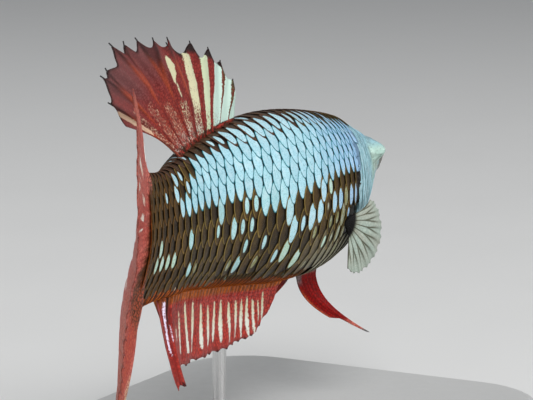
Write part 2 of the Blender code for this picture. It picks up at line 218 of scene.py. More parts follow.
# Round each section a place is q, from 0 at the back to 1 at the belly, measured along the skin.
girthStep = 0.25
girthStations = np.arange(0, body["stemEnd"] + 1.01, girthStep)
girthShares = np.linspace(0, 1, 101)


def measureGirth():
    angles = np.linspace(0, math.pi, 241)
    table, girths = [], []
    for s in girthStations:
        w, z = section(s, angles)
        steps = np.concatenate([[0], np.cumsum(np.hypot(np.diff(w), np.diff(z)))])
        table.append(np.interp(girthShares, steps / steps[-1], angles))
        girths.append(steps[-1])
    return np.array(table), np.array(girths)


angleTable, girthTable = measureGirth()


def halfGirth(s):
    return np.interp(s, girthStations, girthTable)


def angleAt(s, q):
    # q under 0 is over the back and q over 1 is under the belly, both on the other side
    s, q = np.broadcast_arrays(np.asarray(s, float), np.asarray(q, float))
    inside = np.where(q < 0, -q, np.where(q > 1, 2 - q, q))
    row = np.clip(s / girthStep, 0, len(girthStations) - 1.001)
    col = np.clip(inside * (len(girthShares) - 1), 0, len(girthShares) - 1.001)
    i, k = row.astype(int), col.astype(int)
    f, g = row - i, col - k
    low = angleTable[i, k] * (1 - g) + angleTable[i, k + 1] * g
    high = angleTable[i + 1, k] * (1 - g) + angleTable[i + 1, k + 1] * g
    angle = low * (1 - f) + high * f
    return np.where(q < 0, -angle, np.where(q > 1, 2 * math.pi - angle, angle))


def onBody(s, q, side, out=0):
    angle = side * angleAt(s, q)
    w, z = section(s, angle, out)
    return toWorld(s, w + tailFlex(s, z), z)


def colour(red, green, blue):
    # from screen values of 0 to 255 to linear light
    parts = np.array([red, green, blue]) / 255
    return np.where(parts <= 0.04045, parts / 12.92, ((parts + 0.055) / 1.055) ** 2.4)


def mixed(a, b, share):
    share = np.asarray(share)[..., None]
    return a * (1 - share) + b * share


def layered(base, *layers):
    # colours laid over the base in turn, each with its share
    for tint, share in layers:
        base = mixed(base, tint, share)
    return base


# Nodes are written as expressions: a Wire is one output, and arithmetic on it adds Math nodes.
class Wire:
    def __init__(self, tree, socket):
        self.tree = tree
        self.socket = socket

    def math(self, operation, *values):
        return self.tree.node("ShaderNodeMath", {"operation": operation}, dict(enumerate(values)))


def addArithmetic(name, operation):
    setattr(Wire, "__" + name + "__", lambda wire, other: wire.math(operation, wire, other))
    setattr(Wire, "__r" + name + "__", lambda wire, other: wire.math(operation, other, wire))


addArithmetic("add", "ADD")
addArithmetic("sub", "SUBTRACT")
addArithmetic("mul", "MULTIPLY")
addArithmetic("truediv", "DIVIDE")
addArithmetic("pow", "POWER")


class Tree:
    def __init__(self, nodes):
        self.nodes = nodes

    def node(self, kind, settings=None, values=None, out=0):
        made = self.nodes.nodes.new(kind)
        for name, value in (settings or {}).items():
            if name == "stops":
                ramp = made.color_ramp
                while len(ramp.elements) < len(value):
                    ramp.elements.new(1)
                for element, (place, shade) in zip(ramp.elements, value):
                    element.position = place
                    element.color = (*shade, 1)
            else:
                setattr(made, name, value)
        for name, value in (values or {}).items():
            if isinstance(value, Wire):
                self.nodes.links.new(value.socket, made.inputs[name])
            else:
                made.inputs[name].default_value = value
        return Wire(self, made.outputs[out])

    def attribute(self, name, out="Color"):
        return self.node("ShaderNodeAttribute", {"attribute_name": name}, out=out)

    def stored(self, name, kind="FLOAT_VECTOR"):
        return self.node("GeometryNodeInputNamedAttribute", {"data_type": kind}, {"Name": name})

    def split(self, wire, count=3):
        return [self.node("ShaderNodeSeparateXYZ", None, {0: wire}, k) for k in range(count)]

    def noise(self, vector, scale, detail=2, rough=0.5):
        values = {"Vector": vector, "Scale": scale, "Detail": detail, "Roughness": rough}
        return self.node("ShaderNodeTexNoise", None, values)

    def ramp(self, value, low, high, toLow=0, toHigh=1):
        settings = {"interpolation_type": "SMOOTHSTEP"}
        values = {"Value": value, "From Min": low, "From Max": high, "To Min": toLow, "To Max": toHigh}
        return self.node("ShaderNodeMapRange", settings, values)

    def blend(self, share, first, second, kind="MIX"):
        settings = {"data_type": "RGBA", "blend_type": kind}
        first = first if isinstance(first, Wire) else (*first, 1)
        second = second if isinstance(second, Wire) else (*second, 1)
        return self.node("ShaderNodeMix", settings, {0: share, 6: first, 7: second}, out=2)

    def bump(self, height, strength, distance, before=None):
        values = {"Height": height, "Strength": strength, "Distance": distance}
        if before:
            values["Normal"] = before
        return self.node("ShaderNodeBump", None, values)


def makeMaterial(name, build, **fixed):
    # build gets the tree and the object's own coordinates, and returns what feeds the shader
    made = bpy.data.materials.new(name)
    made.use_nodes = True
    tree = Tree(made.node_tree)
    shader = made.node_tree.nodes["Principled BSDF"]
    for socket, value in fixed.items():
        shader.inputs[socket.replace("_", " ")].default_value = value
    place = tree.node("ShaderNodeTexCoord", out="Object")
    for socket, wire in build(tree, place).items():
        made.node_tree.links.new(wire.socket, shader.inputs[socket])
    return made


def addMesh(name, points, faces, material, uvs=None):
    mesh = bpy.data.meshes.new(name)
    mesh.from_pydata([tuple(p) for p in points], [], faces)
    mesh.materials.append(material)
    mesh.shade_smooth()
    if uvs is not None:
        layer = mesh.uv_layers.new(name="unwrap")
        layer.data.foreach_set("uv", np.asarray(uvs, np.float32).ravel())
    return link(name, mesh)


def faceOutward(mesh):
    shape = bmesh.new()
    shape.from_mesh(mesh)
    bmesh.ops.recalc_face_normals(shape, faces=shape.faces)
    shape.to_mesh(mesh)
    shape.free()


def setAttribute(mesh, name, values):
    values = np.asarray(values, np.float32)
    if values.ndim == 1:
        mesh.attributes.new(name, "FLOAT", "POINT").data.foreach_set("value", values)
    elif name.endswith("Tint"):
        full = np.concatenate([values, np.ones((len(values), 1), np.float32)], axis=1)
        mesh.attributes.new(name, "FLOAT_COLOR", "POINT").data.foreach_set("color", full.ravel())
    else:
        mesh.attributes.new(name, "FLOAT_VECTOR", "POINT").data.foreach_set("vector", values.ravel())


def readVectors(mesh, name):
    values = np.empty(len(mesh.vertices) * 3, np.float32)
    mesh.attributes[name].data.foreach_get("vector", values)
    return values.reshape(-1, 3)


def finishPiece(obj, slot, *nodes):
    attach(obj, "root")
    if nodes:
        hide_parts(*nodes)


# The eyes look outwards, a little forwards and a little up.
eyes = {
    "place": (4.8, 1.75, 1.93),
    "radius": 1.28,
    "depth": 0.92,
    "lens": 0.1,
    "forward": math.radians(14),
    "upward": math.radians(10),
}


def eyeFrame(side):
    s, w, z = eyes["place"]
    middle = toWorld(s, side * w, z)
    level = math.cos(eyes["upward"])
    ahead = math.sin(eyes["forward"]) * level
    sight = np.array([ahead, -side * math.cos(eyes["forward"]) * level, math.sin(eyes["upward"])])
    return middle, sight


# Relief of the skin, in millimetres over or under the plain body; the cover's span is in degrees.
relief = {
    "mouthTop": (-3, 2.75),
    "mouthCorner": (2.5, 0.1),
    "slit": 0.5,
    "lips": 0.2,
    "orbit": 1.42,
    "orbitHeight": 0.48,
    "orbitRear": 2.15,
    "socket": 0.9,
    "coverSpan": (48, 148),
    "coverStep": 0.22,
    "gillSlit": 0.6,
    "nostrils": ((1.5, 0.24), (3, 0.2)),
    "pores": 7,
    "vent": 20.9,
}


def gillEdge(angle):
    return body["nape"] + body["gillBow"] * np.sin(angle) ** 2


def hollowShare(s, q):
    # the hollow behind the gill cover, where the side fin grows; skinTint paints it black as shade
    angle = angleAt(s, np.clip(q, 0, 1))
    z = section(s, angle)[1]
    return between(s, 14.9, 17.3, 0.5) * between(z, -4.9, -1.9, 0.7) * (np.sin(angle) > 0)


def overMouth(s, z):
    # height over the mouth's slit, which slants up forwards
    top, corner = relief["mouthTop"], relief["mouthCorner"]
    slope = (corner[1] - top[1]) / (corner[0] - top[0])
    return z - (top[1] + slope * (s - top[0]))


def skinRelief(s, q, side, fine=True):
    angle = angleAt(s, q)
    z = section(s, angle)[1]
    lift = np.zeros(np.broadcast(s, q).shape)
    # gill cover: a plate that stands over the body and ends at a slit
    over = betweenDegrees(angle, *relief["coverSpan"], 26)
    behind = s - gillEdge(angle)
    lift += over * relief["coverStep"] * hump(np.minimum(behind, 0), 0, 2.4) * (1 - ease(behind / 0.14))
    # the thick shoulder behind the slit, and the sheath along the anal fin
    lift += over * 0.1 * hump(behind, 1.2, 0.8)
    lift += 0.1 * hump(q, 0.95, 0.05) * between(s, 23.5, 49, 3)
    if not fine:
        return lift
    lift -= 0.3 * hollowShare(s, q)
    lower = 0.3 + 0.7 * rising(np.degrees(angle), 88, 22)
    lift -= over * lower * relief["gillSlit"] * hump(behind, 0.24, 0.17)
    # mouth: a slit between two lips
    corner = relief["mouthCorner"]
    along = overMouth(s, z)
    away = np.where(s < corner[0], along, np.hypot(s - corner[0], z - corner[1]) * np.sign(along))
    mouth = 1 - rising(s, corner[0] - 0.7, 0.9)
    lift -= mouth * relief["slit"] * hump(away, 0, 0.1)
    lift += mouth * relief["lips"] * hump(np.abs(away), 0.34, 0.22)
    lift -= mouth * 0.07 * hump(np.abs(away), 0.78, 0.14)
    # the fold that runs down from the mouth's corner, and the edge of the cheek plate
    fold = s - 2.9 - 0.35 * (corner[1] - z)
    lift -= 0.12 * hump(fold, 0, 0.16) * between(z, -1.9, 0.2, 0.8)
    arc = s - 8.3 - 1.1 * np.sin(angle) ** 2 + 0.7 * rising(angle, 1.9, 0.7)
    cheek = betweenDegrees(angle, 62, 150, 22)
    lift += (0.06 * hump(arc, -0.45, 0.3) - 0.13 * hump(arc, 0, 0.14)) * cheek
    lift -= 0.07 * hump(arc, 1.5 + 0.5 * np.cos(angle), 0.1) * cheek
    # the folded membrane under the throat, and the groove along its middle
    folds = np.sin((q - 0.74) * 60 + (s - 7) * 0.5)
    lift += 0.07 * folds * between(q, 0.76, 0.97, 0.08) * between(s, 5.4, 11.6, 1.6)
    lift -= 0.16 * hump(q, 1, 0.02) * between(s, 3, 11, 2)
    # nostrils: a short tube in front and a pit behind it
    for k, (atS, atQ) in enumerate(relief["nostrils"]):
        gone = np.hypot(s - atS, (q - atQ) * halfGirth(atS))
        lift += 0.14 * hump(gone, 0.24, 0.09) * (1 - 0.4 * k) - 0.2 * hump(gone, 0, 0.15)
    # pores along the head's side line and fine skin folds
    for k in range(relief["pores"]):
        atS = 3.4 + 1.15 * k
        gone = np.hypot(s - atS, (q - 0.47 + 0.012 * k) * halfGirth(atS))
        lift -= 0.07 * hump(gone, 0, 0.11)
    lift += 0.018 * grain(s * 3.1, q * 40, 3 + side) * (1 - rising(s, 9, 4))
    # the vent, in front of the anal fin
    return lift + 0.3 * hump(np.hypot(s - relief["vent"], (q - 1) * 20), 0, 0.4)


# Where the flank shines turquoise: between two heights that change along the body.
shine = {
    "top": smoothCurve([
        (10, 0.1), (16, 0.11), (20, 0.1), (24, 0.085), (29, 0.06), (35, 0.045), (40, 0.06), (44, 0.12),
        (48, 0.2),
    ]),
    "low": smoothCurve([
        (10, 0.42), (16, 0.4), (20, 0.41), (22, 0.44), (24, 0.47), (29, 0.5), (32, 0.515), (34, 0.44),
        (40, 0.42), (47, 0.4),
    ]),
    "end": 47.7,
}


def shineShare(s, q):
    return between(q, shine["top"](s), shine["low"](s), 0.02) * (1 - ease((s - shine["end"]) / 0.6 + 0.5))


skinColours = {
    "head": colour(178, 230, 244),
    "crown": colour(166, 218, 238),
    "cover": colour(174, 222, 232),
    "cheek": colour(196, 230, 216),
    "snout": colour(132, 150, 142),
    "throat": colour(96, 92, 76),
    "flank": colour(44, 31, 20),
    "olive": colour(84, 76, 50),
    "ridge": colour(84, 70, 62),
    "under": colour(22, 62, 70),
    "sheath": colour(124, 62, 24),
    # slit: near black, the painted shade of the gill slit, the mouth's slit and the hollow behind the gill
    # cover
    "slit": colour(5, 4, 4),
    "lip": colour(96, 84, 74),
    "vent": colour(214, 206, 190),
}


def headShare(s, q):
    angle = angleAt(s, np.clip(q, 0, 1))
    return 1 - ease((s - gillEdge(angle) + 0.1) / 0.3 + 0.5)


def headTint(s, q):
    c = skinColours
    flecks = rising(grain(s * 1.9, q * 22, 5) * 0.5 + grain(s * 4.1, q * 50, 6) * 0.5, 0.16, 0.3)
    tint = layered(
        c["head"],
        (c["crown"], falling(q, 0.2, 0.16)),
        (c["cover"], between(s, 8.5, 16, 2) * between(q, 0.3, 0.8, 0.12)),
        (c["cheek"], between(s, 4.2, 8.2, 2.4) * between(q, 0.26, 0.56, 0.12)),
        (c["throat"], rising(q - 0.012 * s, 0.66, 0.12)),
        (c["snout"], 0.8 * (1 - rising(s, 1.6, 2.4))),
        (c["flank"], 0.34 * flecks * (1 - rising(q, 0.85, 0.1))),
    )
    return tint * (0.62 + 0.2 * rising(s, 4.5, 4))[..., None]


def skinTint(s, q, side):
    c = skinColours
    angle = angleAt(s, np.clip(q, 0, 1))
    behind = s - gillEdge(angle)
    lower = betweenDegrees(angle, 104, 146, 20)
    away = overMouth(s, section(s, angle)[1])
    mouth = 1 - rising(s, relief["mouthCorner"][0] - 0.5, 0.7)
    head = headTint(s, q)
    return layered(
        c["flank"],
        (c["olive"], rising(grain(s * 0.8, q * 14, side), -0.2, 0.9) * 0.7),
        (c["ridge"], falling(q, 0.09, 0.06) * 0.8),
        (c["under"], shineShare(s, q) * 0.8),
        (c["sheath"], rising(q, 0.87, 0.05) * rising(s, 21, 2)),
        (c["throat"], rising(q, 0.78, 0.1) * (1 - rising(s, 17, 4)) * 0.7),
        (head, headShare(s, q)),
        (head, (1 - lower) * between(behind, -0.4, 0.9, 0.3) * (1 - rising(q, 0.5, 0.1))),
        # painted shade: near black in the gill slit's groove
        (c["slit"], lower * hump(behind, 0.25, 0.26)),
        (c["lip"], mouth * hump(np.abs(away), 0.3, 0.3) * 0.8),
        # painted shade: near black along the mouth's slit
        (c["slit"], mouth * hump(away, 0, 0.11)),
        # painted shade: black in the hollow behind the gill cover
        (c["slit"], hollowShare(s, q)),
        (c["vent"], hump(np.hypot(s - relief["vent"] - 0.2, (q - 1) * 20), 0, 0.5)),
    )


def skinLook(tree, place):
    tint = tree.attribute("skinTint")
    lumps = tree.noise(place, 900, 4, 0.6)
    fine = tree.noise(place, 4200, 3, 0.6)
    dark = tree.blend(tree.ramp(fine, 0.52, 0.72) * 0.45, tint, colour(30, 34, 30))
    bright = tree.blend(tree.ramp(lumps, 0.5, 0.75) * 0.25, dark, colour(196, 222, 216))
    normal = tree.bump(fine, 0.35, 0.00008, tree.bump(lumps, 0.4, 0.0002))
    return {"Base Color": bright, "Roughness": tree.ramp(fine, 0.3, 0.7, 0.28, 0.44), "Normal": normal}


skinMaterial = makeMaterial("wet_skin", skinLook, Coat_Weight=0.35, Coat_Roughness=0.18, IOR=1.42)


def skinGrid(columns=84):
    # fine rows on the head, wider ones behind; columns run down the right side and up the left
    lips = -body["lipRound"] + np.array([0.01, 0.05, 0.12, 0.22])
    stem = body["stemEnd"]
    rows = np.concatenate([lips, np.arange(-0.36, 17.2, 0.125), np.arange(17.45, stem, 0.3), [stem]])
    k = np.arange(2 * columns)
    s, q = np.meshgrid(rows, np.where(k <= columns, k, 2 * columns - k) / columns, indexing="ij")
    return rows, s, q, np.broadcast_to(np.where(k <= columns, 1, -1), s.shape)


def raiseLids(points, side):
    # a raised rim of skin round each eye, and a socket inside it
    for eyeSide in bothSides.values():
        middle, sight = eyeFrame(eyeSide)
        gap = (points - middle) / mm
        deep = gap @ sight
        away = np.linalg.norm(gap - deep[..., None] * sight, axis=-1)
        near = (deep > -1.6) & (np.sign(-gap @ np.array([0, eyeSide, 0]) + 2) > 0) & (side == eyeSide)
        ahead = np.array([1, 0, 0]) - sight * sight[0]
        rear = ease(-(gap @ ahead) / np.linalg.norm(ahead) / 1.3)
        rise = gap[..., 2] / math.cos(eyes["upward"])
        height = relief["orbitHeight"] * (0.6 + 0.4 * rising(rise, -1.2, 1.2))
        height = height * (1 + relief["orbitRear"] * rear * hump(rise, 0.4, 0.95))
        rim = height * np.where(away > relief["orbit"], hump(away, relief["orbit"], 0.34 + 0.32 * rear), 1)
        dip = (relief["socket"] + height) * (1 - rising(away, 0.95, 0.3))
        lids = 0.07 * hump(away, 1.86, 0.1)
        points = points + ((rim - dip - lids) * near)[..., None] * sight * mm
    return points


def makeSkin():
    rows, s, q, side = skinGrid()
    depth = body["coat"] * (0.35 + 0.65 * rising(s, 2.5, 4))
    points = raiseLids(onBody(s, q, side, skinRelief(s, q, side) - depth), side)
    tints = skinTint(s, q, side)
    count = s.shape[1]
    columns, ends = count // 2, len(rows) - 1
    verts = [*points.reshape(-1, 3), points[0].mean(0)]
    faces, uvs = [], []

    def uv(i, j):
        return (rows[i] + body["lipRound"]) / unwrapLength, j / count

    for i in range(ends):
        for j in range(count):
            n = (j + 1) % count
            faces.append((i * count + j, (i + 1) * count + j, (i + 1) * count + n, i * count + n))
            uvs += [uv(i, j), uv(i + 1, j), uv(i + 1, j + 1), uv(i, j + 1)]
    for j in range(count):
        faces.append((j, (j + 1) % count, len(verts) - 1))
        uvs += [uv(0, j), uv(0, j + 1), (0, (j + 0.5) / count)]
    # the flat end is filled with strips from side to side
    last = ends * count
    for j in range(columns):
        right, left = (last + j, last + j + 1), (last + (count - j) % count, last + count - j - 1)
        loop = [right[0], left[0], left[1], right[1]]
        corners = [uv(ends, j), (1, 1 - j / count), (1, 1 - (j + 1) / count), uv(ends, j + 1)]
        if j == 0:
            loop, corners = [right[0], *loop[2:]], corners[1:]
        if j == columns - 1:
            loop, corners = [right[0], left[0], right[1]], [corners[0], corners[1], corners[-1]]
        faces.append(tuple(loop))
        uvs += corners
    obj = addMesh("fish_skin", verts, faces, skinMaterial, uvs)
    setAttribute(obj.data, "skinTint", np.concatenate([tints.reshape(-1, 3), tints[0, :1]]))
    flesh = ["head", "lower_jaw", "gill_cover_left", "gill_cover_right", "trunk", "tail_stem"]
    finishPiece(obj, "scaled_skin", *flesh)
    print("skin:", len(obj.data.polygons), "faces")


unwrapLength = body["stemEnd"] + body["lipRound"]
makeSkin()


# Scales: rows run along the body, each scale under the one in front of it. Rows are places q round
# the section, and columns follow the pitch, which changes along the body.
scales = {
    "rows": (
        (9, (0, 0.1, 0.17, 0.24, 0.31, 0.38, 0.46, 0.55, 0.65, 0.75, 0.85, 0.95)),
        (16, (0, 0.095, 0.165, 0.23, 0.29, 0.355, 0.425, 0.5, 0.58, 0.665, 0.755, 0.85)),
        (30, (0, 0.1, 0.19, 0.277, 0.366, 0.457, 0.555, 0.66, 0.76, 0.85, 0.925, 1)),
        (46, (-0.06, 0.02, 0.11, 0.205, 0.31, 0.435, 0.555, 0.665, 0.765, 0.85, 0.92, 0.99)),
        (56, (-0.08, 0.01, 0.11, 0.21, 0.32, 0.44, 0.56, 0.67, 0.77, 0.85, 0.93, 1)),
    ),
    "pitch": smoothCurve([
        (10, 0.72), (14, 0.85), (17, 0.98), (20, 1.22), (24, 1.5), (30, 1.66), (36, 1.68), (40, 1.56),
        (45, 1.4), (50, 1.12), (56, 0.9),
    ]),
    "stagger": 0.42,
    "overlap": 2.15,
    "tall": 0.77,
    "thickness": 0.045,
    "raise": 0.24,
    "shown": 0.767,
    "shownHalf": 0.233,
    "roundness": 1.72,
    "span": (9, 55.6),
    "thinning": 54.9,
    "leftSpangles": 40,
    "spangleReach": 1.3,
    "patch": (0.003, 0.0015),
    "seed": 11,
}
rowPlaces = [
    smoothCurve([(station, places[j]) for station, places in scales["rows"]])
    for j in range(len(scales["rows"][0][1]))
]
scaleColours = {
    "front": colour(160, 202, 238),
    "middle": colour(184, 230, 242),
    "low": colour(174, 224, 224),
    "mint": colour(196, 230, 208),
    "olive": colour(136, 138, 88),
    "rim": colour(44, 142, 154),
    "deepRim": colour(30, 112, 124),
    "dark": colour(38, 26, 6),
    "brown": colour(78, 56, 18),
    "darkRim": colour(134, 113, 56),
    "ridge": colour(92, 66, 52),
    "sheath": colour(206, 106, 22),
    "sheathDark": colour(124, 54, 8),
    "throat": colour(132, 128, 104),
}
# Shining scales outside the turquoise part: station, place round the section, share of the scale
# that shines, and M for mint or O for olive.
spangles = (
    (24.6, 0.557, 1, ""), (28.5, 0.568, 1, ""), (27, 0.672, 1, ""), (26, 0.75, 0.9, "M"),
    (28.3, 0.763, 0.9, "M"), (32.6, 0.76, 0.8, "M"), (37.8, 0.56, 0.8, ""), (38.75, 0.742, 0.9, ""),
    (35.9, 0.828, 0.8, ""), (41.7, 0.448, 1, ""), (46.7, 0.5625, 0.9, ""), (22.8, 0.583, 0.9, ""),
    (22.9, 0.448, 0.9, ""), (20.05, 0.51, 0.9, ""), (18.8, 0.5, 0.9, ""), (48.9, 0.182, 0.9, ""),
    (48.9, 0.302, 0.9, ""), (48.7, 0.078, 0.8, ""), (49.85, 0.651, 0.8, "M"), (51.1, 0.66, 0.8, "M"),
    (52, 0.677, 0.8, "M"), (52.9, 0.698, 0.8, "M"), (53.2, 0.594, 0.8, "M"), (46.5, 0.786, 0.8, ""),
    (15.4, 0.54, 0.9, ""), (17.1, 0.49, 0.9, ""), (26.1, 0.565, 0.5, ""), (30.4, 0.768, 0.5, ""),
    (31.8, 0.69, 0.5, ""), (32.9, 0.672, 0.45, ""), (35.4, 0.656, 0.45, ""), (34.5, 0.547, 0.45, ""),
    (36.3, 0.547, 0.5, ""), (32.6, 0.833, 0.5, "O"), (38.2, 0.81, 0.5, "O"), (34.7, 0.458, 0.55, ""),
    (36.4, 0.464, 0.55, ""), (42.3, 0.573, 0.45, ""), (47.1, 0.083, 0.5, ""), (46.4, 0.182, 0.6, ""),
    (51.1, 0.18, 0.5, ""), (21.45, 0.443, 0.6, "M"), (17.8, 0.604, 0.4, ""), (21, 0.68, 0.45, "M"),
    (23.3, 0.66, 0.45, "O"), (20.5, 0.62, 0.45, "O"), (19.4, 0.604, 0.45, "O"), (45.6, 0.72, 0.5, "O"),
)


def makePlate(segments, rings):
    # one scale: x runs back from its root, y across it, both in its own size; z in thicknesses.
    # Its shown end is a rounded diamond, and its hidden end is fuller.
    middle, half = scales["shown"], scales["shownHalf"]
    verts, edges, faces = [(middle, 0, 1.35)], [0], []

    def ring(r, z):
        first = len(verts)
        for k in range(segments):
            turn = 2 * math.pi * (k + 0.5) / segments
            c, n = math.cos(turn), math.sin(turn)
            power = 2 / scales["roundness"] if c > 0 else 0.75
            reach = half if c > 0 else middle
            x = middle + r * reach * math.copysign(abs(c) ** power, c)
            verts.append((x, r * math.copysign(abs(n) ** power, n), z))
            edges.append(r)
        return [(first + k, first + (k + 1) % segments) for k in range(segments)]

    before = None
    for r in rings:
        spans = ring(r, 1 + 0.35 * (1 - r * r) - (0.45 if r == 1 else 0))
        if before is None:
            faces += [(0, a, b) for a, b in spans]
        else:
            faces += [(c, a, b, d) for (a, b), (c, d) in zip(spans, before)]
        before = spans
    spans = ring(0.93, 0)
    faces += [(c, a, b, d) for (a, b), (c, d) in zip(spans, before)]
    verts.append((middle, 0, 0.2))
    edges.append(0)
    faces += [(a, len(verts) - 1, b) for a, b in spans]
    mesh = bpy.data.meshes.new("plate")
    mesh.from_pydata(verts, [], faces)
    setAttribute(mesh, "local", verts)
    setAttribute(mesh, "edge", edges)
    return link("plate", mesh)


def unwrapPlace(s, q, side):
    return (s + body["lipRound"]) / unwrapLength, np.where(side > 0, q / 2, 1 - q / 2)


def makeGround():
    # the surface that scales lie on, a little wider than once round, so that any scale finds it
    stations = np.concatenate([np.arange(-0.6, 17, 0.2), np.arange(17, 58.6, 0.4)])
    around = np.linspace(-0.14, 1.14, 161)
    s, v = np.meshgrid(stations, around, indexing="ij")
    side = np.where(v <= 0.5, 1, -1)
    q = np.where(v <= 0.5, v * 2, 2 - v * 2)
    onStem, behind = np.minimum(s, body["stemEnd"]), np.maximum(s - body["stemEnd"], 0)
    lift = skinRelief(onStem, np.clip(q, -1, 2), side, False)

    def layer(out):
        # behind the stem the surface narrows onto the tail fin and spreads with it
        w, z = section(onStem, side * angleAt(onStem, q), lift + out)
        w = w * (1 - 0.2 * behind)
        z = 0.65 + (z - 0.65) * (1 + 0.1 * behind)
        return toWorld(s, w + tailFlex(s, z), z)

    base = layer(-body["coat"])
    out = layer(0.4) - base
    rows, cols = s.shape
    faces, uvs = [], []
    for i in range(rows - 1):
        for j in range(cols - 1):
            a = i * cols + j
            faces.append((a, a + cols, a + cols + 1, a + 1))
            for m, n in ((i, j), (i + 1, j), (i + 1, j + 1), (i, j + 1)):
                uvs.append(((stations[m] + body["lipRound"]) / unwrapLength, around[n]))
    obj = addMesh("ground", base.reshape(-1, 3), faces, skinMaterial, uvs)
    out = out / np.linalg.norm(out, axis=-1, keepdims=True)
    setAttribute(obj.data, "outward", out.reshape(-1, 3))
    return obj


def startGroup(name, inputs):
    # a node group with these inputs, and a wire from each
    group = bpy.data.node_groups.new(name, "GeometryNodeTree")
    for label, kind in inputs:
        group.interface.new_socket(label, in_out="INPUT", socket_type="NodeSocket" + kind)
    group.interface.new_socket("Geometry", in_out="OUTPUT", socket_type="NodeSocketGeometry")
    tree = Tree(group)
    start = group.nodes.new("NodeGroupInput")
    return tree, [Wire(tree, start.outputs[i]) for i in range(len(inputs))]


def endGroup(tree, shape, material):
    finish = tree.node("GeometryNodeSetMaterial", None, {"Geometry": shape, "Material": material})
    end = tree.nodes.nodes.new("NodeGroupOutput")
    tree.nodes.links.new(finish.socket, end.inputs[0])
    return tree.nodes


def scaleTree(material):
    # instances a plate on each point, then bends it onto the ground around its root
    inputs = (("Geometry", "Geometry"), ("Plate", "Object"), ("Ground", "Object"), ("Thickness", "Float"))
    tree, (points, plate, ground, thickness) = startGroup("scales", inputs)
    shape = tree.node("GeometryNodeObjectInfo", None, {"Object": plate}, "Geometry")
    surface = tree.node("GeometryNodeObjectInfo", None, {"Object": ground}, "Geometry")
    placed = tree.node("GeometryNodeInstanceOnPoints", None, {"Points": points, "Instance": shape})
    real = tree.node("GeometryNodeRealizeInstances", None, {"Geometry": placed})
    along, across, up = tree.split(tree.stored("local"))
    length, half, lift = tree.split(tree.stored("plateSize"))
    rootU, rootV, lean = tree.split(tree.stored("root"))
    perU, perV, sink = tree.split(tree.stored("unit"))
    sideways = half * across
    # the scale's tall axis leans back towards the belly
    u = rootU + (length * along + sideways * lean) * perU
    v = rootV + sideways * perV
    height = (lift * along + up * thickness - sink) * mm
    spot = tree.node("ShaderNodeCombineXYZ", None, {0: u, 1: v})
    unwrap = tree.stored("unwrap")

    def sample(value):
        values = {"Mesh": surface, "Value": value, "UV Map": unwrap, "Sample UV": spot}
        return tree.node("GeometryNodeSampleUVSurface", {"data_type": "FLOAT_VECTOR"}, values)

    footing = sample(tree.node("GeometryNodeInputPosition"))
    outward = sample(tree.stored("outward"))
    raised = tree.node("ShaderNodeVectorMath", {"operation": "SCALE"}, {0: outward, "Scale": height})
    final = tree.node("ShaderNodeVectorMath", {"operation": "ADD"}, {0: footing, 1: raised})
    bent = tree.node("GeometryNodeSetPosition", None, {"Geometry": real, "Position": final})
    return endGroup(tree, bent, material)


def grown(name, mesh, group, values):
    # what the node group makes of the mesh, as a plain mesh on a new object
    obj = link(mesh.name, mesh)
    modifier = obj.modifiers.new("grow", "NODES")
    modifier.node_group = group
    for item in group.interface.items_tree:
        if item.in_out == "INPUT" and item.name in values:
            modifier[item.identifier] = values[item.name]
    graph = bpy.context.evaluated_depsgraph_get()
    made = bpy.data.meshes.new_from_object(obj.evaluated_get(graph))
    made.name = name
    bpy.data.objects.remove(obj)
    return link(name, made)


def growScales(name, rows, plate, thickness):
    mesh = bpy.data.meshes.new(name + "_roots")
    mesh.from_pydata([(row["root"][0], row["root"][1], 0) for row in rows], [], [])
    for key in rows[0]:
        setAttribute(mesh, key, [row[key] for row in rows])
    made = grown(name, mesh, scaleGroup, {"Plate": plate, "Ground": ground, "Thickness": thickness})
    mesh = made.data
    mesh.shade_smooth()
    # each scale is a small patch of the bake map, at its root's place on the skin's unwrap
    local = readVectors(mesh, "local")[:, :2] - (0.5, 0)
    patch = readVectors(mesh, "root")[:, :2] + local * scales["patch"]
    corners = np.empty(len(mesh.loops), np.int32)
    mesh.loops.foreach_get("vertex_index", corners)
    layer = mesh.uv_layers.new(name="OFBake")
    layer.data.foreach_set("uv", (patch[corners] % 1).astype(np.float32).ravel())
    finishPiece(made, "scaled_skin")
    print(name + ":", len(rows), "scales,", len(mesh.polygons), "faces")


def scaleRow(s, q, side, length, half, rng, lift=None, lean=0, sink=0, root=None):
    # one scale whose shown part is centred on s and q; its root lies further forward
    u, v = unwrapPlace(*(root or (s, q)), side)
    return {
        "root": (float(u), float(v), side * lean),
        "unit": (1 / unwrapLength, 0.5 / float(halfGirth(s)), sink),
        "plateSize": (length, half, scales["raise"] if lift is None else lift),
        "look": (0, 0, rng.random()),
    }


def flankSpots(side, rng):
    # station, place and row of each scale's shown middle
    steps = np.arange(6, 60, 0.05)
    count = np.concatenate([[0], np.cumsum(0.05 / scales["pitch"](steps[:-1] + 0.025))])
    front, rear = scales["span"]
    spots = []
    for j, rowPlace in enumerate(rowPlaces):
        if side < 0 and j == 0:
            continue
        k = 0
        while k + scales["stagger"] * j <= count[-1]:
            s = float(np.interp(k + scales["stagger"] * j - 4, count, steps))
            k += 1
            if not front < s < rear or rng.random() < (s - scales["thinning"]) * 0.5:
                continue
            q = float(rowPlace(s))
            angle = float(angleAt(s, min(max(q, 0), 1)))
            edge = float(gillEdge(angle)) + (0.5 if angle > math.radians(100) else 0.12)
            low = (q > 0.86 and s > 20.4) or (s < 17 and q > 0.9)
            if not (s < edge or low or hollowShare(s, q) > 0.4):
                spots.append((s, q, j))
    return spots


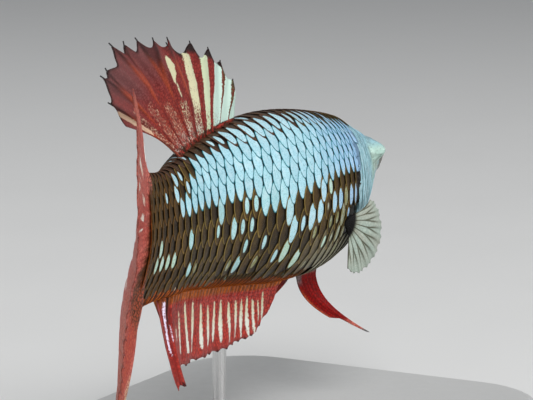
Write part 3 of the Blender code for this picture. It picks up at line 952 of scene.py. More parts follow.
def chooseSpangles(side, spots, rng):
    # which scales shine on their own, with the share that shines and the kind
    wanted = list(spangles)
    if side < 0:
        outside = [p for p in spots if float(shine["low"](p[0])) + 0.03 < p[1] < 0.86 and p[0] < 54]
        picks = rng.sample(outside, scales["leftSpangles"])
        shares, kinds = (1, 0.9, 0.9, 0.5, 0.5, 0.45), ("", "", "M", "O")
        wanted = [(s, q, rng.choice(shares), rng.choice(kinds)) for s, q, _ in picks]
    chosen = {}
    for spotS, spotQ, share, kind in wanted:
        around = float(halfGirth(spotS))
        gaps = [math.hypot(s - spotS, (q - spotQ) * around) for s, q, _ in spots]
        best = int(np.argmin(gaps))
        if gaps[best] < scales["spangleReach"]:
            chosen[best] = (share, kind)
    return chosen


def flankScales(side):
    rng = random.Random(scales["seed"] + side)
    c = scaleColours
    spots = flankSpots(side, rng)
    chosen = chooseSpangles(side, spots, rng)
    lastRow = len(rowPlaces) - 1
    rows = []
    for i, (s, q, j) in enumerate(spots):
        pitch = float(scales["pitch"](s))
        span = float(rowPlaces[min(j + 1, lastRow)](s)) - float(rowPlaces[max(j - 1, 0)](s))
        half = scales["tall"] * span / (2 if 0 < j < lastRow else 1) * float(halfGirth(s))
        length = scales["overlap"] * pitch
        rootS = s - (length - pitch * 0.5)
        drop = (float(rowPlaces[j](rootS)) - q) if rootS > scales["span"][0] else 0
        lean = 0.16 * float(rising(q, 0.45, 0.4))
        row = scaleRow(s, q, side, length, half, rng, lean=lean, root=(rootS, q + 0.5 * drop))
        wob = rng.uniform(-1, 1)
        shining = float(shineShare(s, q)) > 0.5
        fill = 0.92 + 0.02 * wob if shining else -1
        tint = mixed(c["front"], c["middle"], rising(s, 15, 10))
        tint = mixed(tint, c["low"], rising(q, 0.3, 0.2) * rising(s, 24, 12)) * (1 + 0.06 * wob)
        if j == 1 and 16 < s < 46.5 and rng.random() < (s - 15) / 7:
            fill = rng.choice((0.9, 0.86, 0.8, 0.7, 0.5) if s < 37 else (0.6, 0.4, -1, -1))
            shining = False
        if j == 0:
            fill = 0.5 if rng.random() < 0.1 else -1
            shining = False
        if i in chosen:
            share, kind = chosen[i]
            fill = 0.85 * share**0.85
            shining = False
            tint = c["mint"] if kind == "M" else c["olive"] if kind == "O" else tint
        dark = mixed(c["dark"], c["brown"], rng.random() * 0.8)
        darkRim = c["darkRim"] * rng.uniform(0.6, 1.1)
        if j == 0 or (j == 1 and s > 23):
            dark = mixed(dark, c["ridge"] * 0.6, 0.5)
            darkRim = c["ridge"] * rng.uniform(0.8, 1.3)
        if i not in chosen and 13.5 < s < 25 and q > 0.45 and not shining and rng.random() < 0.5:
            fill = rng.uniform(0.2, 0.85)
            tint = mixed(c["olive"], c["throat"] * 1.5, rng.random() * 0.6)
            tint = tint * (1 - 0.3 * float(rising(q, 0.7, 0.2)))
        low = float(rising(q, 0.875, 0.02) * rising(s, 21.5, 2))
        stem = float(rising(s, 46, 6))
        belly = float(rising(q, 0.64, 0.16) * (1 - rising(s, 20, 6)))
        dark = layered(dark, (c["sheathDark"], 0.7 * low), (c["throat"] * 0.95, belly))
        darkRim = layered(darkRim, (c["sheath"], 0.8 * low), (c["sheath"] * 0.5, 0.4 * stem))
        darkRim = mixed(darkRim * (1 - 0.3 * stem), c["throat"] * 1.2, belly)
        # the first column's fronts aren't covered by other scales, so they get a lighter dull tint and less
        # painted shade
        first = shining and s < float(gillEdge(float(angleAt(s, q)))) + 1.2
        row["shineTint"] = tint
        row["darkTint"] = tint * 0.62 if first else c["deepRim"] if shining else dark
        row["rimTint"] = c["rim"] * (1 + 0.2 * rng.uniform(-1, 1)) if shining else darkRim
        # the look's second value sets the specks and the painted shade
        row["look"] = (fill, 0.35 if first else 1, rng.random())
        rows.append(row)
    return rows


def faceScales(side):
    # smaller scales on the crown, cheek and gill cover, smallest towards the snout
    rng = random.Random(scales["seed"] + 7 * side)
    c = scaleColours
    middle, sight = eyeFrame(side)
    front, rear = 4.6, 16.2
    rows = []
    s, i = front, 0
    while s < rear:
        pitch = 0.36 + 0.055 * (s - front)
        tall = 0.46 + 0.06 * (s - front)
        around = float(halfGirth(s))
        count = int(around / tall)
        for k in range(count + 1):
            q = (k + 0.5 * (i % 2) + rng.uniform(-0.1, 0.1)) / count
            if q > 0.74 or (side < 0 and q < 0.25 / around):
                continue
            angle = float(angleAt(s, q))
            over = float(betweenDegrees(angle, *relief["coverSpan"], 10))
            if s > float(gillEdge(angle)) - (0.25 if over > 0.5 else -0.6):
                continue
            gap = (onBody(s, q, side) - middle) / mm
            if np.linalg.norm(gap - (gap @ sight) * sight) < 2.05:
                continue
            length = pitch * 2.1 * rng.uniform(0.95, 1.1)
            place = s - length + pitch * (0.5 + rng.uniform(-0.16, 0.16) + 0.25 * math.sin(11 * q + s))
            row = scaleRow(place, q, side, length, tall * rng.uniform(1, 1.15), rng, lift=0.1, sink=0.02)
            tint = headTint(np.array(s), np.array(q)) * (1 + 0.12 * rng.uniform(-1, 1))
            grownUp = float(rising(s, 6, 6))
            row["shineTint"] = tint
            row["darkTint"] = mixed(tint * 0.78, c["deepRim"], 0.4 * grownUp)
            row["rimTint"] = mixed(tint * 0.86, c["rim"], 0.35 * grownUp)
            # the look's second value sets the specks and the painted shade, stronger on the bigger scales
            # behind
            row["look"] = (0.94 if rng.random() < 0.94 else 0.6, 0.2 + 0.4 * grownUp, rng.random())
            rows.append(row)
        s += pitch
        i += 1
    return rows


# Small scales on the sheath, the throat's rear with the belly's middle, and the tail fin's root:
# first and last station, first and last place round the section, pitch and height.
smallScales = {
    "sheath": (21.6, 53.4, 0.85, 0.995, 0.32, 0.46),
    "belly": (14.6, 20.8, 0.86, 1, 0.62, 0.6),
    "root": (55, 55.8, -0.02, 1.02, 0.5, 0.7),
}


def lowScales(side):
    rng = random.Random(scales["seed"] + 13 * side)
    c = scaleColours
    rows = []
    for kind, (low, high, top, bottom, pitch, tall) in smallScales.items():
        atRoot = kind == "root"
        length = pitch * 2.1
        s, i = low, 0
        while s < high:
            count = max(2, int((bottom - top) * float(halfGirth(s)) / tall))
            for k in range(count + 1):
                q = top + (bottom - top) * (k + 0.5 * (i % 2)) / count
                if q > 1 or (side < 0 and not 0.01 < q < 0.995):
                    continue
                if s < float(gillEdge(angleAt(s, q))) + 0.4:
                    continue
                front = s - length + pitch * 0.5
                row = scaleRow(front, q, side, length, tall * 0.85, rng, lift=0.13, sink=-0.05)
                sheath = float(rising(s, 21, 2))
                dark = mixed(c["throat"] * 0.7, c["brown"] * 0.7 if atRoot else c["sheathDark"], sheath)
                rim = mixed(c["throat"], c["sheath"] * (0.6 if atRoot else 1), sheath) * rng.uniform(0.6, 1.2)
                if kind == "sheath":
                    above = sheath * (1 - float(rising(q, 0.868, 0.024)))
                    dark = mixed(dark, mixed(c["dark"], c["brown"], 0.6), above)
                    rim = mixed(rim, c["darkRim"] * 0.5, above)
                waves = 1.2 * float(ease(0.5 + 0.9 * math.sin(7.9 * s + 9 * q))) - 0.72
                tick = 1 if atRoot else 1 + sheath * waves
                row["shineTint"] = c["mint"]
                row["darkTint"] = dark * tick
                row["rimTint"] = rim * tick
                row["look"] = (-1 if atRoot or rng.random() < 0.96 else 0.5, 1, rng.random())
                rows.append(row)
            s += pitch
            i += 1
    return rows


def scaleLook(tree, place):
    # local runs back and across each scale; its shown part is a rounded diamond of radius 1
    along, across = tree.split(tree.attribute("local", "Vector"), 2)
    # look: the shining share, how strong the specks and the painted shade are, and a random number
    fill, shadeAndSpecks, chance = tree.split(tree.attribute("look", "Vector"))
    edge = tree.attribute("edge", "Fac")
    back = (along - scales["shown"]) / scales["shownHalf"]
    power = scales["roundness"]
    wide, tall = (part.math("ABSOLUTE", part) for part in (back, across))
    gone = (wide**power + tall**power) ** (1 / power)
    fine = tree.noise(place, 5200, 2, 0.6)
    broad = tree.noise(place, 1500, 3, 0.6)
    ragged = gone + ((fine - 0.5) * 0.1 + (broad - 0.5) * 0.08)
    # a spangle on its own is an oval, smaller than its scale
    oval = (wide**2 + tall**2) ** 0.5
    lone = tree.ramp(fill, 0.9, 0.86)
    shining = tree.ramp(fill - ragged - (oval - gone) * lone, -0.04, 0.05)
    finest = tree.noise(place, 11000, 2, 0.7)
    specks = tree.ramp(finest, 0.52, 0.66) * 0.5 + tree.ramp(fine, 0.55, 0.68) * 0.3
    inside = tree.blend(specks * shadeAndSpecks, tree.attribute("shineTint"), tree.attribute("rimTint"))
    pale = tree.blend(tree.ramp(broad, 0.42, 0.72) * 0.45, inside, colour(222, 242, 248))
    # a dull scale has painted shade under the one in front, and a thin light line inside its back edge
    # the light line shows only towards each scale's back, broken up by noise
    towardsBack = tree.ramp(back + (broad - 0.5) * 2.2, -0.35, 0.5)
    line = tree.ramp(ragged, 0.76, 0.88) * tree.ramp(ragged, 1, 0.93) * towardsBack
    lit = line * 0.8 + tree.ramp(broad + fine * 0.5, 0.7, 0.95) * 0.16
    dull = tree.blend(lit, tree.attribute("darkTint"), tree.attribute("rimTint"))
    # painted shade: the dark tint darkened, by as much as the look's second value says
    shaded = tree.blend(shadeAndSpecks, tree.attribute("darkTint"), (0.16, 0.16, 0.16), "MULTIPLY")
    # deep runs from the painted shade at the scale's front to the dull colour behind it
    deep = tree.ramp(back + (broad - 0.5) * 0.7 - across * 0.1, -1, 0.1)
    face = tree.blend(shining, tree.blend(deep, shaded, dull), pale)
    # circles of growth, as fine ridges round each scale's middle
    turns = edge * 46 + fine * 2
    normal = tree.bump(turns.math("SINE", turns) * 0.3 + broad, 0.25, 0.00006)
    share = {0: chance * 0.12 + 0.9, 1: chance * 0.1 + 0.91, 2: chance * 0.08 + 0.93}
    return {
        "Base Color": tree.blend(1, face, tree.node("ShaderNodeCombineColor", None, share), "MULTIPLY"),
        "Roughness": tree.ramp(fine, 0.3, 0.7, 0.36, 0.52),
        "Metallic": shining * 0.2,
        "Normal": normal,
    }


scaleMaterial = makeMaterial(
    "scale_plates", scaleLook, Coat_Weight=0.04, Coat_Roughness=0.2, Specular_IOR_Level=0.12,
)
scaleGroup = scaleTree(scaleMaterial)
ground = makeGround()
bigPlate = makePlate(22, (0.5, 0.85, 0.95, 1))
smallPlate = makePlate(12, (0.6, 0.9, 1))
for word, side in bothSides.items():
    growScales("flank_scales_" + word, flankScales(side), bigPlate, scales["thickness"])
    growScales("face_scales_" + word, faceScales(side), smallPlate, 0.035)
    growScales("belly_scales_" + word, lowScales(side), smallPlate, 0.04)
for helper in (ground, bigPlate, smallPlate):
    bpy.data.objects.remove(helper)


# Fins. A ray runs from its root past a knee to its tip, all as (s, w, z); u is its place along the
# fin, from 0 to 1, and t its place from root to tip. Marks are placed by j, counted in rays.
def dorsalRay(u):
    front, length = dorsal["base"]
    rootS = front + length * u**0.8
    root = (rootS, 0 * u, backHeight(rootS) + 0.35)
    tip = (dorsal["tipS"](u), dorsal["tipW"](u), dorsal["tipZ"](u))
    lean = 0.45 - 0.1 * u
    knee = (root[0] + lean * (tip[0] - root[0]), 0.25 * tip[1], root[2] + 0.55 * (tip[2] - root[2]))
    return root, knee, tip


def analRay(u):
    front, length = anal["base"]
    rootS = front + length * u
    rootZ = bellyHeight(rootS) - 0.35
    root = (rootS, tailFlex(rootS, rootZ), rootZ)
    tip = (anal["tipS"](u), anal["tipW"](u), anal["tipZ"](u))
    # the rear lobe has a blunt end between its last two rays
    blunt, along = rising(u, 0.895, 0.025), np.clip((u - 0.92) / 0.08, 0, 1)
    blunted = (54.4 + 0.2 * along, 2.2 - 0.35 * along, -11.25 - 0.1 * along)
    tip = tuple(a * (1 - blunt) + b * blunt for a, b in zip(tip, blunted))
    knee = (root[0] + 0.35 * (tip[0] - root[0]), 0.2 * tip[1], root[2] + 0.5 * (tip[2] - root[2]))
    return root, knee, tip


def caudalRay(u):
    # the fin is cupped, so that its edges stand to the fish's left of its middle
    angle = np.radians(caudal["topAngle"] - caudal["spread"] * u)
    length = caudal["length"] + 0.4 * np.sin(math.pi * u) + 1.2 * hump(u, 0, 0.07)
    root = (body["stemEnd"] + 0.3 + 0 * u, caudal["rootTop"] - caudal["rootSpan"] * u)
    tip = (root[0] + length * np.cos(angle), root[1] + length * np.sin(angle))
    knee = (root[0] + 0.45 * (tip[0] - root[0]), root[1] + 0.56 * (tip[1] - root[1]))
    upper, lower, foot = hump(u, 0, 0.3), hump(u, 0.62, 0.26), hump(u, 1, 0.12)
    middle, crest = hump(u, 0.4, 0.13), hump(u, 0, 0.06)
    kneeCup = -1.8 * lower + 1.75 * foot - 0.2 * middle
    tipCup = -0.3 * upper - 0.35 * crest - 0.44 * lower - 0.7 * foot
    cups = (0.5 * foot, kneeCup, tipCup)
    return tuple((s, tailFlex(s, z) + w, z) for (s, z), w in zip((root, knee, tip), cups))


def pectoralRay(side, forward):
    def ray(u):
        rootZ = -2.3 - 2 * u
        rootS, rootW = pectoral["station"], halfWidth(pectoral["station"] - 0.4) + 0.45 - 0.45 * u
        length = 3.2 + 0.05 * u + 2.3 * np.sin(math.pi * np.clip(u, 0, 1)) ** 0.8
        slope = np.radians(20 - 98 * u - 14 * u**3)
        reach, fall = length * np.cos(slope), length * np.sin(slope)
        points = []
        for share, turn in ((0, forward - 0.5), (0.47, forward - 0.5), (1, forward)):
            s = rootS - share * reach * math.sin(turn)
            w = rootW + share * reach * math.cos(turn)
            points.append((s, side * w, rootZ + share * fall))
        return tuple(points)

    return ray


def pelvicRay(side, knee, tip):
    rootS, rootW = 17.5, 0.9

    def ray(u):
        spread = (u - 0.5) * 1.9
        rootZ = bellyHeight(rootS + spread) - 0.35
        points = []
        for (s, w, z), width in (((0, 0, 0), 1), (knee, 1.1), (tip, 0.12)):
            points.append((rootS + s + spread * width, side * (rootW + w - 0.55 * spread * width), rootZ - z))
        return tuple(points)

    return ray


def alongRay(ray, u, t):
    root, knee, tip = ray(u)
    a, b, c = (1 - t) ** 2, 2 * t * (1 - t), t * t
    return [a * p + b * q + c * r for p, q, r in zip(root, knee, tip)]


def scallops(tips, valleys, sharp=2):
    # the fin's outline as a reach along each ray: cusps at the ray tips, hollows between them
    tipJ, tipT = np.array(tips).T
    lowJ, lowT = np.array(valleys).T

    def reach(j):
        top = np.interp(j, tipJ, tipT)
        low = np.interp(j, lowJ, lowT)
        i = np.clip(np.searchsorted(tipJ, j) - 1, 0, len(tipJ) - 2)
        width = tipJ[i + 1] - tipJ[i]
        place = np.clip((j - tipJ[i]) / width, 0, 1)
        hollow = np.clip((lowJ[i] - tipJ[i]) / width, 0.1, 0.9)
        away = np.where(place < hollow, 1 - place / hollow, (place - hollow) / (1 - hollow))
        return low + (top - low) * away**sharp

    return reach


def evenScallops(places, top, low, sharp):
    # cusps at these places and a hollow midway between each two; low gives its t from their gap
    hollows = [((a + b) / 2, low(b - a)) for a, b in zip(places, places[1:])]
    return scallops([(place, top) for place in places], hollows, sharp)


def ribs(j, t, courses, width, begin):
    # how near each place lies to a ray; a course is its points as (t, j), and begin says where
    # along it the ray starts to show
    share = np.zeros(np.broadcast(j, t).shape)
    for course in courses:
        share = np.maximum(share, hump(j, smoothCurve(course)(t), width) * begin(t - course[0][0]))
    return share


def inBands(j, t, bands, soft=0.24):
    share = np.zeros(np.broadcast(j, t).shape)
    for low, high, full, edges in bands:
        ts, left, right = np.array(edges, float).T
        a, b = np.interp(t, ts, left), np.interp(t, ts, right)
        width = np.minimum(soft, (b - a) * 0.9)
        here = ease((j - a) / width + 0.5) * ease((b - j) / width + 0.5) * between(t, low, high, 0.05)
        share = np.maximum(share, here * full)
    return share


def finSheet(name, fin, ray):
    # a closed, thin, waved membrane; thick and wave are in millimetres, as functions of j and t
    columns, rows = fin["grid"]
    last, start = fin["rays"] - 1, fin["start"]
    j = np.linspace(0, last, columns)[:, None]
    share = np.linspace(0, 1, rows)[None, :]
    t = start + (fin["reach"](j) - start) * share
    j = np.broadcast_to(j, t.shape)
    grid = toWorld(*alongRay(ray, j / last, t))
    normal = np.cross(np.gradient(grid, axis=1), np.gradient(grid, axis=0))
    normal /= np.maximum(np.linalg.norm(normal, axis=2, keepdims=True), 1e-12)
    middle = grid + normal * (fin["wave"](j, t) * mm)[..., None]
    half = (fin["thick"](j, t) * mm / 2)[..., None]
    verts = np.concatenate([(middle + normal * half).reshape(-1, 3), (middle - normal * half).reshape(-1, 3)])
    layer = columns * rows
    a = (np.arange(columns - 1)[:, None] * rows + np.arange(rows - 1)[None, :]).ravel()
    near = np.stack([a, a + 1, a + rows + 1, a + rows], axis=1)
    far = np.stack([a, a + rows, a + rows + 1, a + 1], axis=1) + layer
    rim = [*range(rows - 1), *(i * rows + rows - 1 for i in range(columns - 1))]
    rim += [layer - 1 - k for k in range(rows - 1)]
    rim += [(columns - 1 - i) * rows for i in range(columns - 1)]
    edge = [(b, b + layer, c + layer, c) for b, c in zip(rim, rim[1:] + rim[:1])]
    faces = [*map(tuple, near[:, ::-1].tolist()), *map(tuple, far[:, ::-1].tolist()), *edge]
    obj = addMesh(name, verts, faces, finMaterial)
    faceOutward(obj.data)
    for key, values in fin["paint"](j, t, fin["reach"](j)).items():
        shape = (*j.shape, 3) if key.endswith("Tint") else j.shape
        flat = np.broadcast_to(values, shape).reshape(-1, *shape[2:])
        setAttribute(obj.data, key, np.concatenate([flat, flat]))
    course = np.stack([j, t, np.zeros(j.shape)], axis=-1).reshape(-1, 3)
    setAttribute(obj.data, "course", np.concatenate([course, course + (0, 0, 3)]))
    print(name + ":", len(obj.data.polygons), "faces")
    return obj


def finLook(tree, place):
    # pearl flakes lie over the membrane's own colour, with ragged edges and gaps between them
    course = tree.attribute("course", "Vector")
    stretched = tree.node("ShaderNodeVectorMath", {"operation": "MULTIPLY"}, {0: course, 1: (1, 2.4, 1)})
    flakes = tree.noise(place, 6000, 2, 0.7)
    lumps = tree.noise(stretched, 7, 3, 0.65)
    pearl = tree.attribute("pearl", "Fac")
    solid = tree.ramp(pearl + (flakes - 0.5) * 1.1 + (lumps - 0.5) * 0.55, 0.4, 0.64)
    values = {"Vector": place, "Scale": 3000}
    cells = tree.ramp(tree.node("ShaderNodeTexVoronoi", {"feature": "DISTANCE_TO_EDGE"}, values), 0.03, 0.24)
    tint = tree.attribute("finTint")
    under = tree.blend(cells * 0.85 + 0.05, tree.attribute("darkTint"), tint)
    streaks = tree.blend(tree.ramp(lumps, 0.4, 0.7) * 0.3, under, tint)
    shade = tree.blend(tree.ramp(flakes, 0.62, 0.75) * 0.25, tree.attribute("pearlTint"), tint)
    both = tree.blend(solid, streaks, shade)
    normal = tree.bump(solid * 0.6 + flakes, 0.4, 0.00006)
    return {
        "Base Color": both,
        "Roughness": tree.ramp(flakes, 0.3, 0.7, 0.38, 0.55),
        "Alpha": tree.attribute("cover", "Fac"),
        "Normal": normal,
    }


finMaterial = makeMaterial(
    "fin_membrane", finLook, Coat_Weight=0.04, Coat_Roughness=0.25, Specular_IOR_Level=0.12,
)


def rayLook(tree, place):
    grainy = tree.noise(place, 3000, 2, 0.6)
    shade = tree.blend(tree.ramp(grainy, 0.35, 0.7) * 0.4, tree.attribute("rayTint"), colour(24, 14, 12))
    return {
        "Base Color": shade,
        "Roughness": tree.ramp(grainy, 0.3, 0.7, 0.35, 0.5),
        "Normal": tree.bump(grainy, 0.3, 0.00004),
    }


rayMaterial = makeMaterial(
    "fin_rays", rayLook, Coat_Weight=0.15, Coat_Roughness=0.25, Specular_IOR_Level=0.35,
)


def rayTree(material):
    tree, (lines, sides) = startGroup("fin_rays", (("Geometry", "Geometry"), ("Sides", "Int")))
    lined = tree.node("GeometryNodeMeshToCurve", None, {"Mesh": lines})
    ring = tree.node("GeometryNodeCurvePrimitiveCircle", None, {"Resolution": sides, "Radius": 1})
    girth = tree.stored("girth", "FLOAT")
    values = {"Curve": lined, "Profile Curve": ring, "Scale": girth, "Fill Caps": True}
    tube = tree.node("GeometryNodeCurveToMesh", None, values)
    smooth = tree.node("GeometryNodeSetShadeSmooth", None, {"Geometry": tube})
    real = tree.node("GeometryNodeRealizeInstances", None, {"Geometry": smooth})
    return endGroup(tree, real, material)


rayGroup = rayTree(rayMaterial)


def rayTubes(name, fin, ray):
    # tubes along the fin's courses, from girth to girth, which change colour at a share of the way
    verts, edges, girths, tints = [], [], [], []
    last, points = fin["rays"] - 1, fin["points"]
    share = np.linspace(0, 1, points)
    rootGirth, tipGirth = fin["girth"]
    for i, course in enumerate(fin["courses"]):
        ts = np.linspace(course[0][0], course[-1][0], points)
        js = smoothCurve(course)(ts)

        def spot(dj, dt):
            return toWorld(*alongRay(ray, (js + dj) / last, ts + dt))

        normal = np.cross(spot(0, 0.01) - spot(0, -0.01), spot(0.05, 0) - spot(-0.05, 0))
        normal /= np.linalg.norm(normal, axis=1, keepdims=True)
        first = len(verts)
        verts += list(spot(0, 0) + normal * (fin["wave"](js, ts) * mm)[:, None])
        edges += [(first + k, first + k + 1) for k in range(points - 1)]
        girths += list((rootGirth + (tipGirth - rootGirth) * share**0.8) * mm)
        tints += list(mixed(fin["rayTint"](i), fin["tipTint"], rising(share, fin["change"], 0.25)))
    mesh = bpy.data.meshes.new(name + "_lines")
    mesh.from_pydata([tuple(v) for v in verts], edges, [])
    setAttribute(mesh, "girth", girths)
    setAttribute(mesh, "rayTint", tints)
    made = grown(name, mesh, rayGroup, {"Sides": 6})
    print(name + ":", len(fin["courses"]), "rays,", len(made.data.polygons), "faces")
    return made


def makeFin(name, fin, ray, slot="fin_membrane", word=""):
    # a membrane in place of the solid's plate, and the tubes of its rays
    finishPiece(finSheet(name + "_membrane" + word, fin, ray), slot, name + "_fin" + word)
    finishPiece(rayTubes(name + "_rays" + word, fin, ray), slot)


shades = {
    "mint": colour(192, 216, 204),
    "green": colour(204, 215, 180),
    "cream": colour(216, 212, 174),
    "pink": colour(210, 166, 140),
    "ice": colour(226, 232, 226),
    "red": colour(146, 50, 44),
    "deepRed": colour(98, 20, 18),
    "brightRed": colour(196, 66, 54),
    "mauve": colour(122, 76, 76),
    "orange": colour(172, 70, 38),
    "black": colour(12, 10, 10),
    "grey": colour(120, 118, 118),
    "brown": colour(96, 58, 32),
    "salmon": colour(206, 110, 94),
    "sheath": colour(190, 96, 26),
    "lobe": colour(200, 205, 190),
    "olive": colour(98, 92, 58),
    "blood": colour(152, 8, 4),
    "lilac": colour(226, 216, 236),
    "rust": colour(170, 76, 50),
}

# A fin's base is its first station and its length; tips are given against u.
dorsal = {
    "rays": 14,
    "base": (30.7, 13.9),
    "tipS": smoothCurve([
        (0, 30.2), (0.15, 33), (0.31, 40.5), (0.46, 48.3), (0.69, 56), (0.85, 58), (1, 52.6),
    ]),
    "tipW": smoothCurve([(0, 0), (0.31, 0), (0.46, -0.5), (0.69, -3.5), (0.85, -4), (1, -3.4)]),
    "tipZ": smoothCurve([
        (0, 10), (0.15, 13.6), (0.31, 15.8), (0.46, 16.9), (0.69, 17), (0.85, 14.5), (1, 10.2),
    ]),
    "tips": (
        (0, 0.96), (0.8, 1.01), (1.95, 0.965), (3, 0.99), (4.05, 0.98), (5.6, 0.965), (6.65, 0.955),
        (7.35, 0.93), (8.15, 0.91), (9.07, 0.97), (10.35, 0.895), (10.95, 0.94), (12.1, 0.97), (13, 0.9),
    ),
    "valleys": (
        (0.4, 0.84), (1.55, 0.8), (2.6, 0.83), (3.75, 0.82), (4.95, 0.82), (6.2, 0.88), (7, 0.87),
        (7.9, 0.83), (8.6, 0.85), (9.9, 0.86), (10.65, 0.88), (11.5, 0.9), (12.6, 0.92),
    ),
    # low and high t, strength, and rows of t, left and right edge
    "bands": (
        (-0.2, 1.2, 1, ((0, -1, 0.6), (0.5, -1, 0.52), (1.1, -1, 0.62))),
        (-0.2, 1.2, 1, (
            (0, 0.78, 1.95), (0.1, 0.76, 1.85), (0.5, 0.72, 1.62), (0.8, 0.85, 1.6), (1, 0.9, 1.2),
        )),
        (-0.2, 0.88, 1, (
            (0, 2.15, 3.2), (0.1, 2, 3.14), (0.3, 1.9, 2.94), (0.5, 1.8, 2.76), (0.8, 1.85, 2.74),
        )),
        (-0.2, 0.88, 1, (
            (0, 3.65, 4.6), (0.1, 3.5, 4.2), (0.3, 3.3, 3.97), (0.5, 3.14, 3.84), (0.8, 3.14, 3.82),
        )),
        (-0.2, 0.84, 0.72, (
            (0, 5.1, 6.7), (0.15, 4.85, 6.1), (0.3, 4.55, 5.5), (0.5, 4.28, 5.08), (0.8, 4.26, 4.9),
        )),
        (0.51, 0.79, 0.9, ((0.52, 6.5, 6.75), (0.6, 6.1, 6.68), (0.7, 5.98, 6.6), (0.78, 6.15, 6.45))),
        (0.37, 0.52, 0.62, ((0.38, 6.45, 6.75), (0.52, 6.3, 6.62))),
        (-0.2, 0.36, 0.45, ((0, 7.15, 8.7), (0.12, 6.7, 8), (0.24, 6.2, 7.4), (0.36, 6.15, 7.05))),
        (-0.2, 0.38, 0.41, ((0, 8.7, 10.8), (0.15, 8.5, 10.2), (0.25, 8.15, 9.65), (0.38, 8.1, 9.2))),
        (-0.2, 0.5, 0.4, ((0, 10.9, 12.6), (0.15, 10.5, 12.1), (0.3, 10.2, 11.6), (0.5, 10, 10.9))),
        (-0.2, 0.73, 0.45, (
            (0, 12.6, 13.6), (0.1, 12.4, 13.4), (0.3, 12.3, 13.2), (0.5, 12, 12.7), (0.72, 11.8, 12.3),
        )),
        (0.5, 0.93, 0.95, ((0.5, 12.6, 12.92), (0.65, 12.5, 12.86), (0.8, 12.38, 12.74), (0.92, 12.3, 12.6))),
    ),
}
# the rays' courses as (t, j), with forks in the rear half
dorsal["courses"] = (
    ((-0.08, 0.72), (0.3, 0.68), (0.7, 0.66), (1.05, 0.8)),
    ((-0.08, 2.1), (0.1, 2), (0.5, 1.78), (0.8, 1.85), (0.99, 1.95)),
    ((-0.08, 3.5), (0.1, 3.32), (0.3, 3.1), (0.5, 2.9), (0.8, 2.88), (1.015, 3.02)),
    ((-0.08, 5), (0.15, 4.6), (0.3, 4.25), (0.5, 4.06), (0.8, 4.04), (1.003, 4.07)),
    ((-0.08, 7), (0.1, 6.45), (0.3, 5.85), (0.5, 5.6), (0.8, 5.5), (0.988, 5.6)),
    ((0.35, 5.75), (0.5, 5.72), (0.75, 5.8), (0.93, 5.9)),
    ((-0.08, 8.7), (0.1, 8.2), (0.3, 7.6), (0.5, 7.25), (0.75, 6.92), (0.983, 6.62)),
    ((0.42, 7.35), (0.6, 7.28), (0.8, 7.33), (0.955, 7.38)),
    ((-0.08, 10.9), (0.1, 10.6), (0.3, 9.85), (0.5, 9.3), (0.6, 9), (0.8, 8.5), (0.938, 8.1)),
    ((0.5, 9.25), (0.65, 9.15), (0.8, 9.1), (1, 9.05)),
    ((-0.08, 12.7), (0.1, 12.5), (0.25, 12.1), (0.4, 11.6), (0.6, 11.1), (0.8, 10.65), (0.92, 10.32)),
    ((0.5, 11.35), (0.65, 11.15), (0.8, 11), (0.965, 10.93)),
    ((-0.08, 13), (0.3, 12.95), (0.5, 12.85), (0.8, 12.3), (1, 12.1)),
)


def dorsalWave(j, t):
    return 0.2 * np.sin(j * 2.1 + 0.6) * ease(t) - 0.12 * np.cos(j * 6) * ease(t * 1.2)


def dorsalThick(j, t):
    ridge = ribs(j, t, dorsal["courses"], 0.11, lambda ahead: ahead >= -0.05)
    return 0.11 + 0.5 * ease(0.06 - t) + 0.1 * (1 - ease(t)) + 0.16 * ridge * (1 - 0.6 * ease(t))


def dorsalPaint(j, t, reach):
    c = shades
    rear, top = rising(j, 6, 1), np.minimum(reach, 0.9)
    pearlTint = layered(
        c["mint"],
        (c["green"], rising(j, 2.7, 0.6)),
        (c["cream"], rising(j, 4, 0.6)),
        (c["pink"], rising(j, 6.5, 2) * 0.8),
        (c["ice"], hump(t, 0.06, 0.07) * rising(j, 4.6, 1) * 0.5),
    )
    veiled = rising(t, 0.42, 0.2) * rising(j, 6, 1.2) * (1 - 0.55 * rising(j, 10.5, 2))
    veiled = veiled * np.clip(0.72 + 0.4 * grain(j * 0.8, t * 3, 12), 0, 1)
    base = mixed(c["red"], c["mauve"], veiled)
    black = rising(t, top - 0.08, 0.08) * (1 - rising(j, 5, 2))
    black = black + rising(t, reach - 0.03, 0.04) * rising(j, 6, 2)
    front = 1 - rising(j, 1.6, 0.4)
    ray = ribs(j, t, dorsal["courses"], 0.13, lambda ahead: ease(ahead / 0.1))
    ray = ray * rising(j, 4.6, 1.5) * (1 - black)
    lively = mixed(c["deepRed"] * 1.2, c["orange"] * 1.1, between(t, 0.4, 0.8, 0.2))
    lively = mixed(lively, c["black"] * 2, 0.85 * rising(t, reach - 0.24, 0.16))
    foot = 0.95 * (1 - rising(t, 0.035 + 0.02 * grain(j * 3, t, 6), 0.05))
    mottled = mixed(c["brown"] * 0.35, c["brightRed"] * 0.8, ease(0.4 + 0.9 * grain(j * 5, t * 55, 3)))
    edge = layered(
        base,
        (c["orange"], hump(t, 0.16, 0.2) * rising(j, 6, 2) * 0.5),
        (c["black"] * 2, 0.96 * black),
        (c["olive"] * 0.8, front),
        (lively, ray * 0.85),
        (mottled, foot),
    )
    dark = layered(
        c["deepRed"],
        (base * 0.7, rising(t, 0.5, 0.3) * rear),
        (c["black"], 0.92 * black),
        (lively * 0.7, ray * 0.8),
        (mottled * 0.6, foot),
    )
    pearl = inBands(j, t, dorsal["bands"])
    pearl = pearl * (1 - 0.36 * falling(t, 0.38, 0.25) * rising(j, 1.6, 1) * (1 - rear))
    pearl = np.maximum(pearl, 0.28 * falling(t, 0.4, 0.2) * rising(j, 2, 2))
    return {
        "finTint": edge,
        "darkTint": dark,
        "pearlTint": pearlTint,
        "pearl": np.minimum(pearl, 1 - 0.75 * falling(t, 0.05, 0.05)),
        "cover": 1 - 0.12 * rising(t, 0.45, 0.3) * rising(j, 6.2, 1),
    }


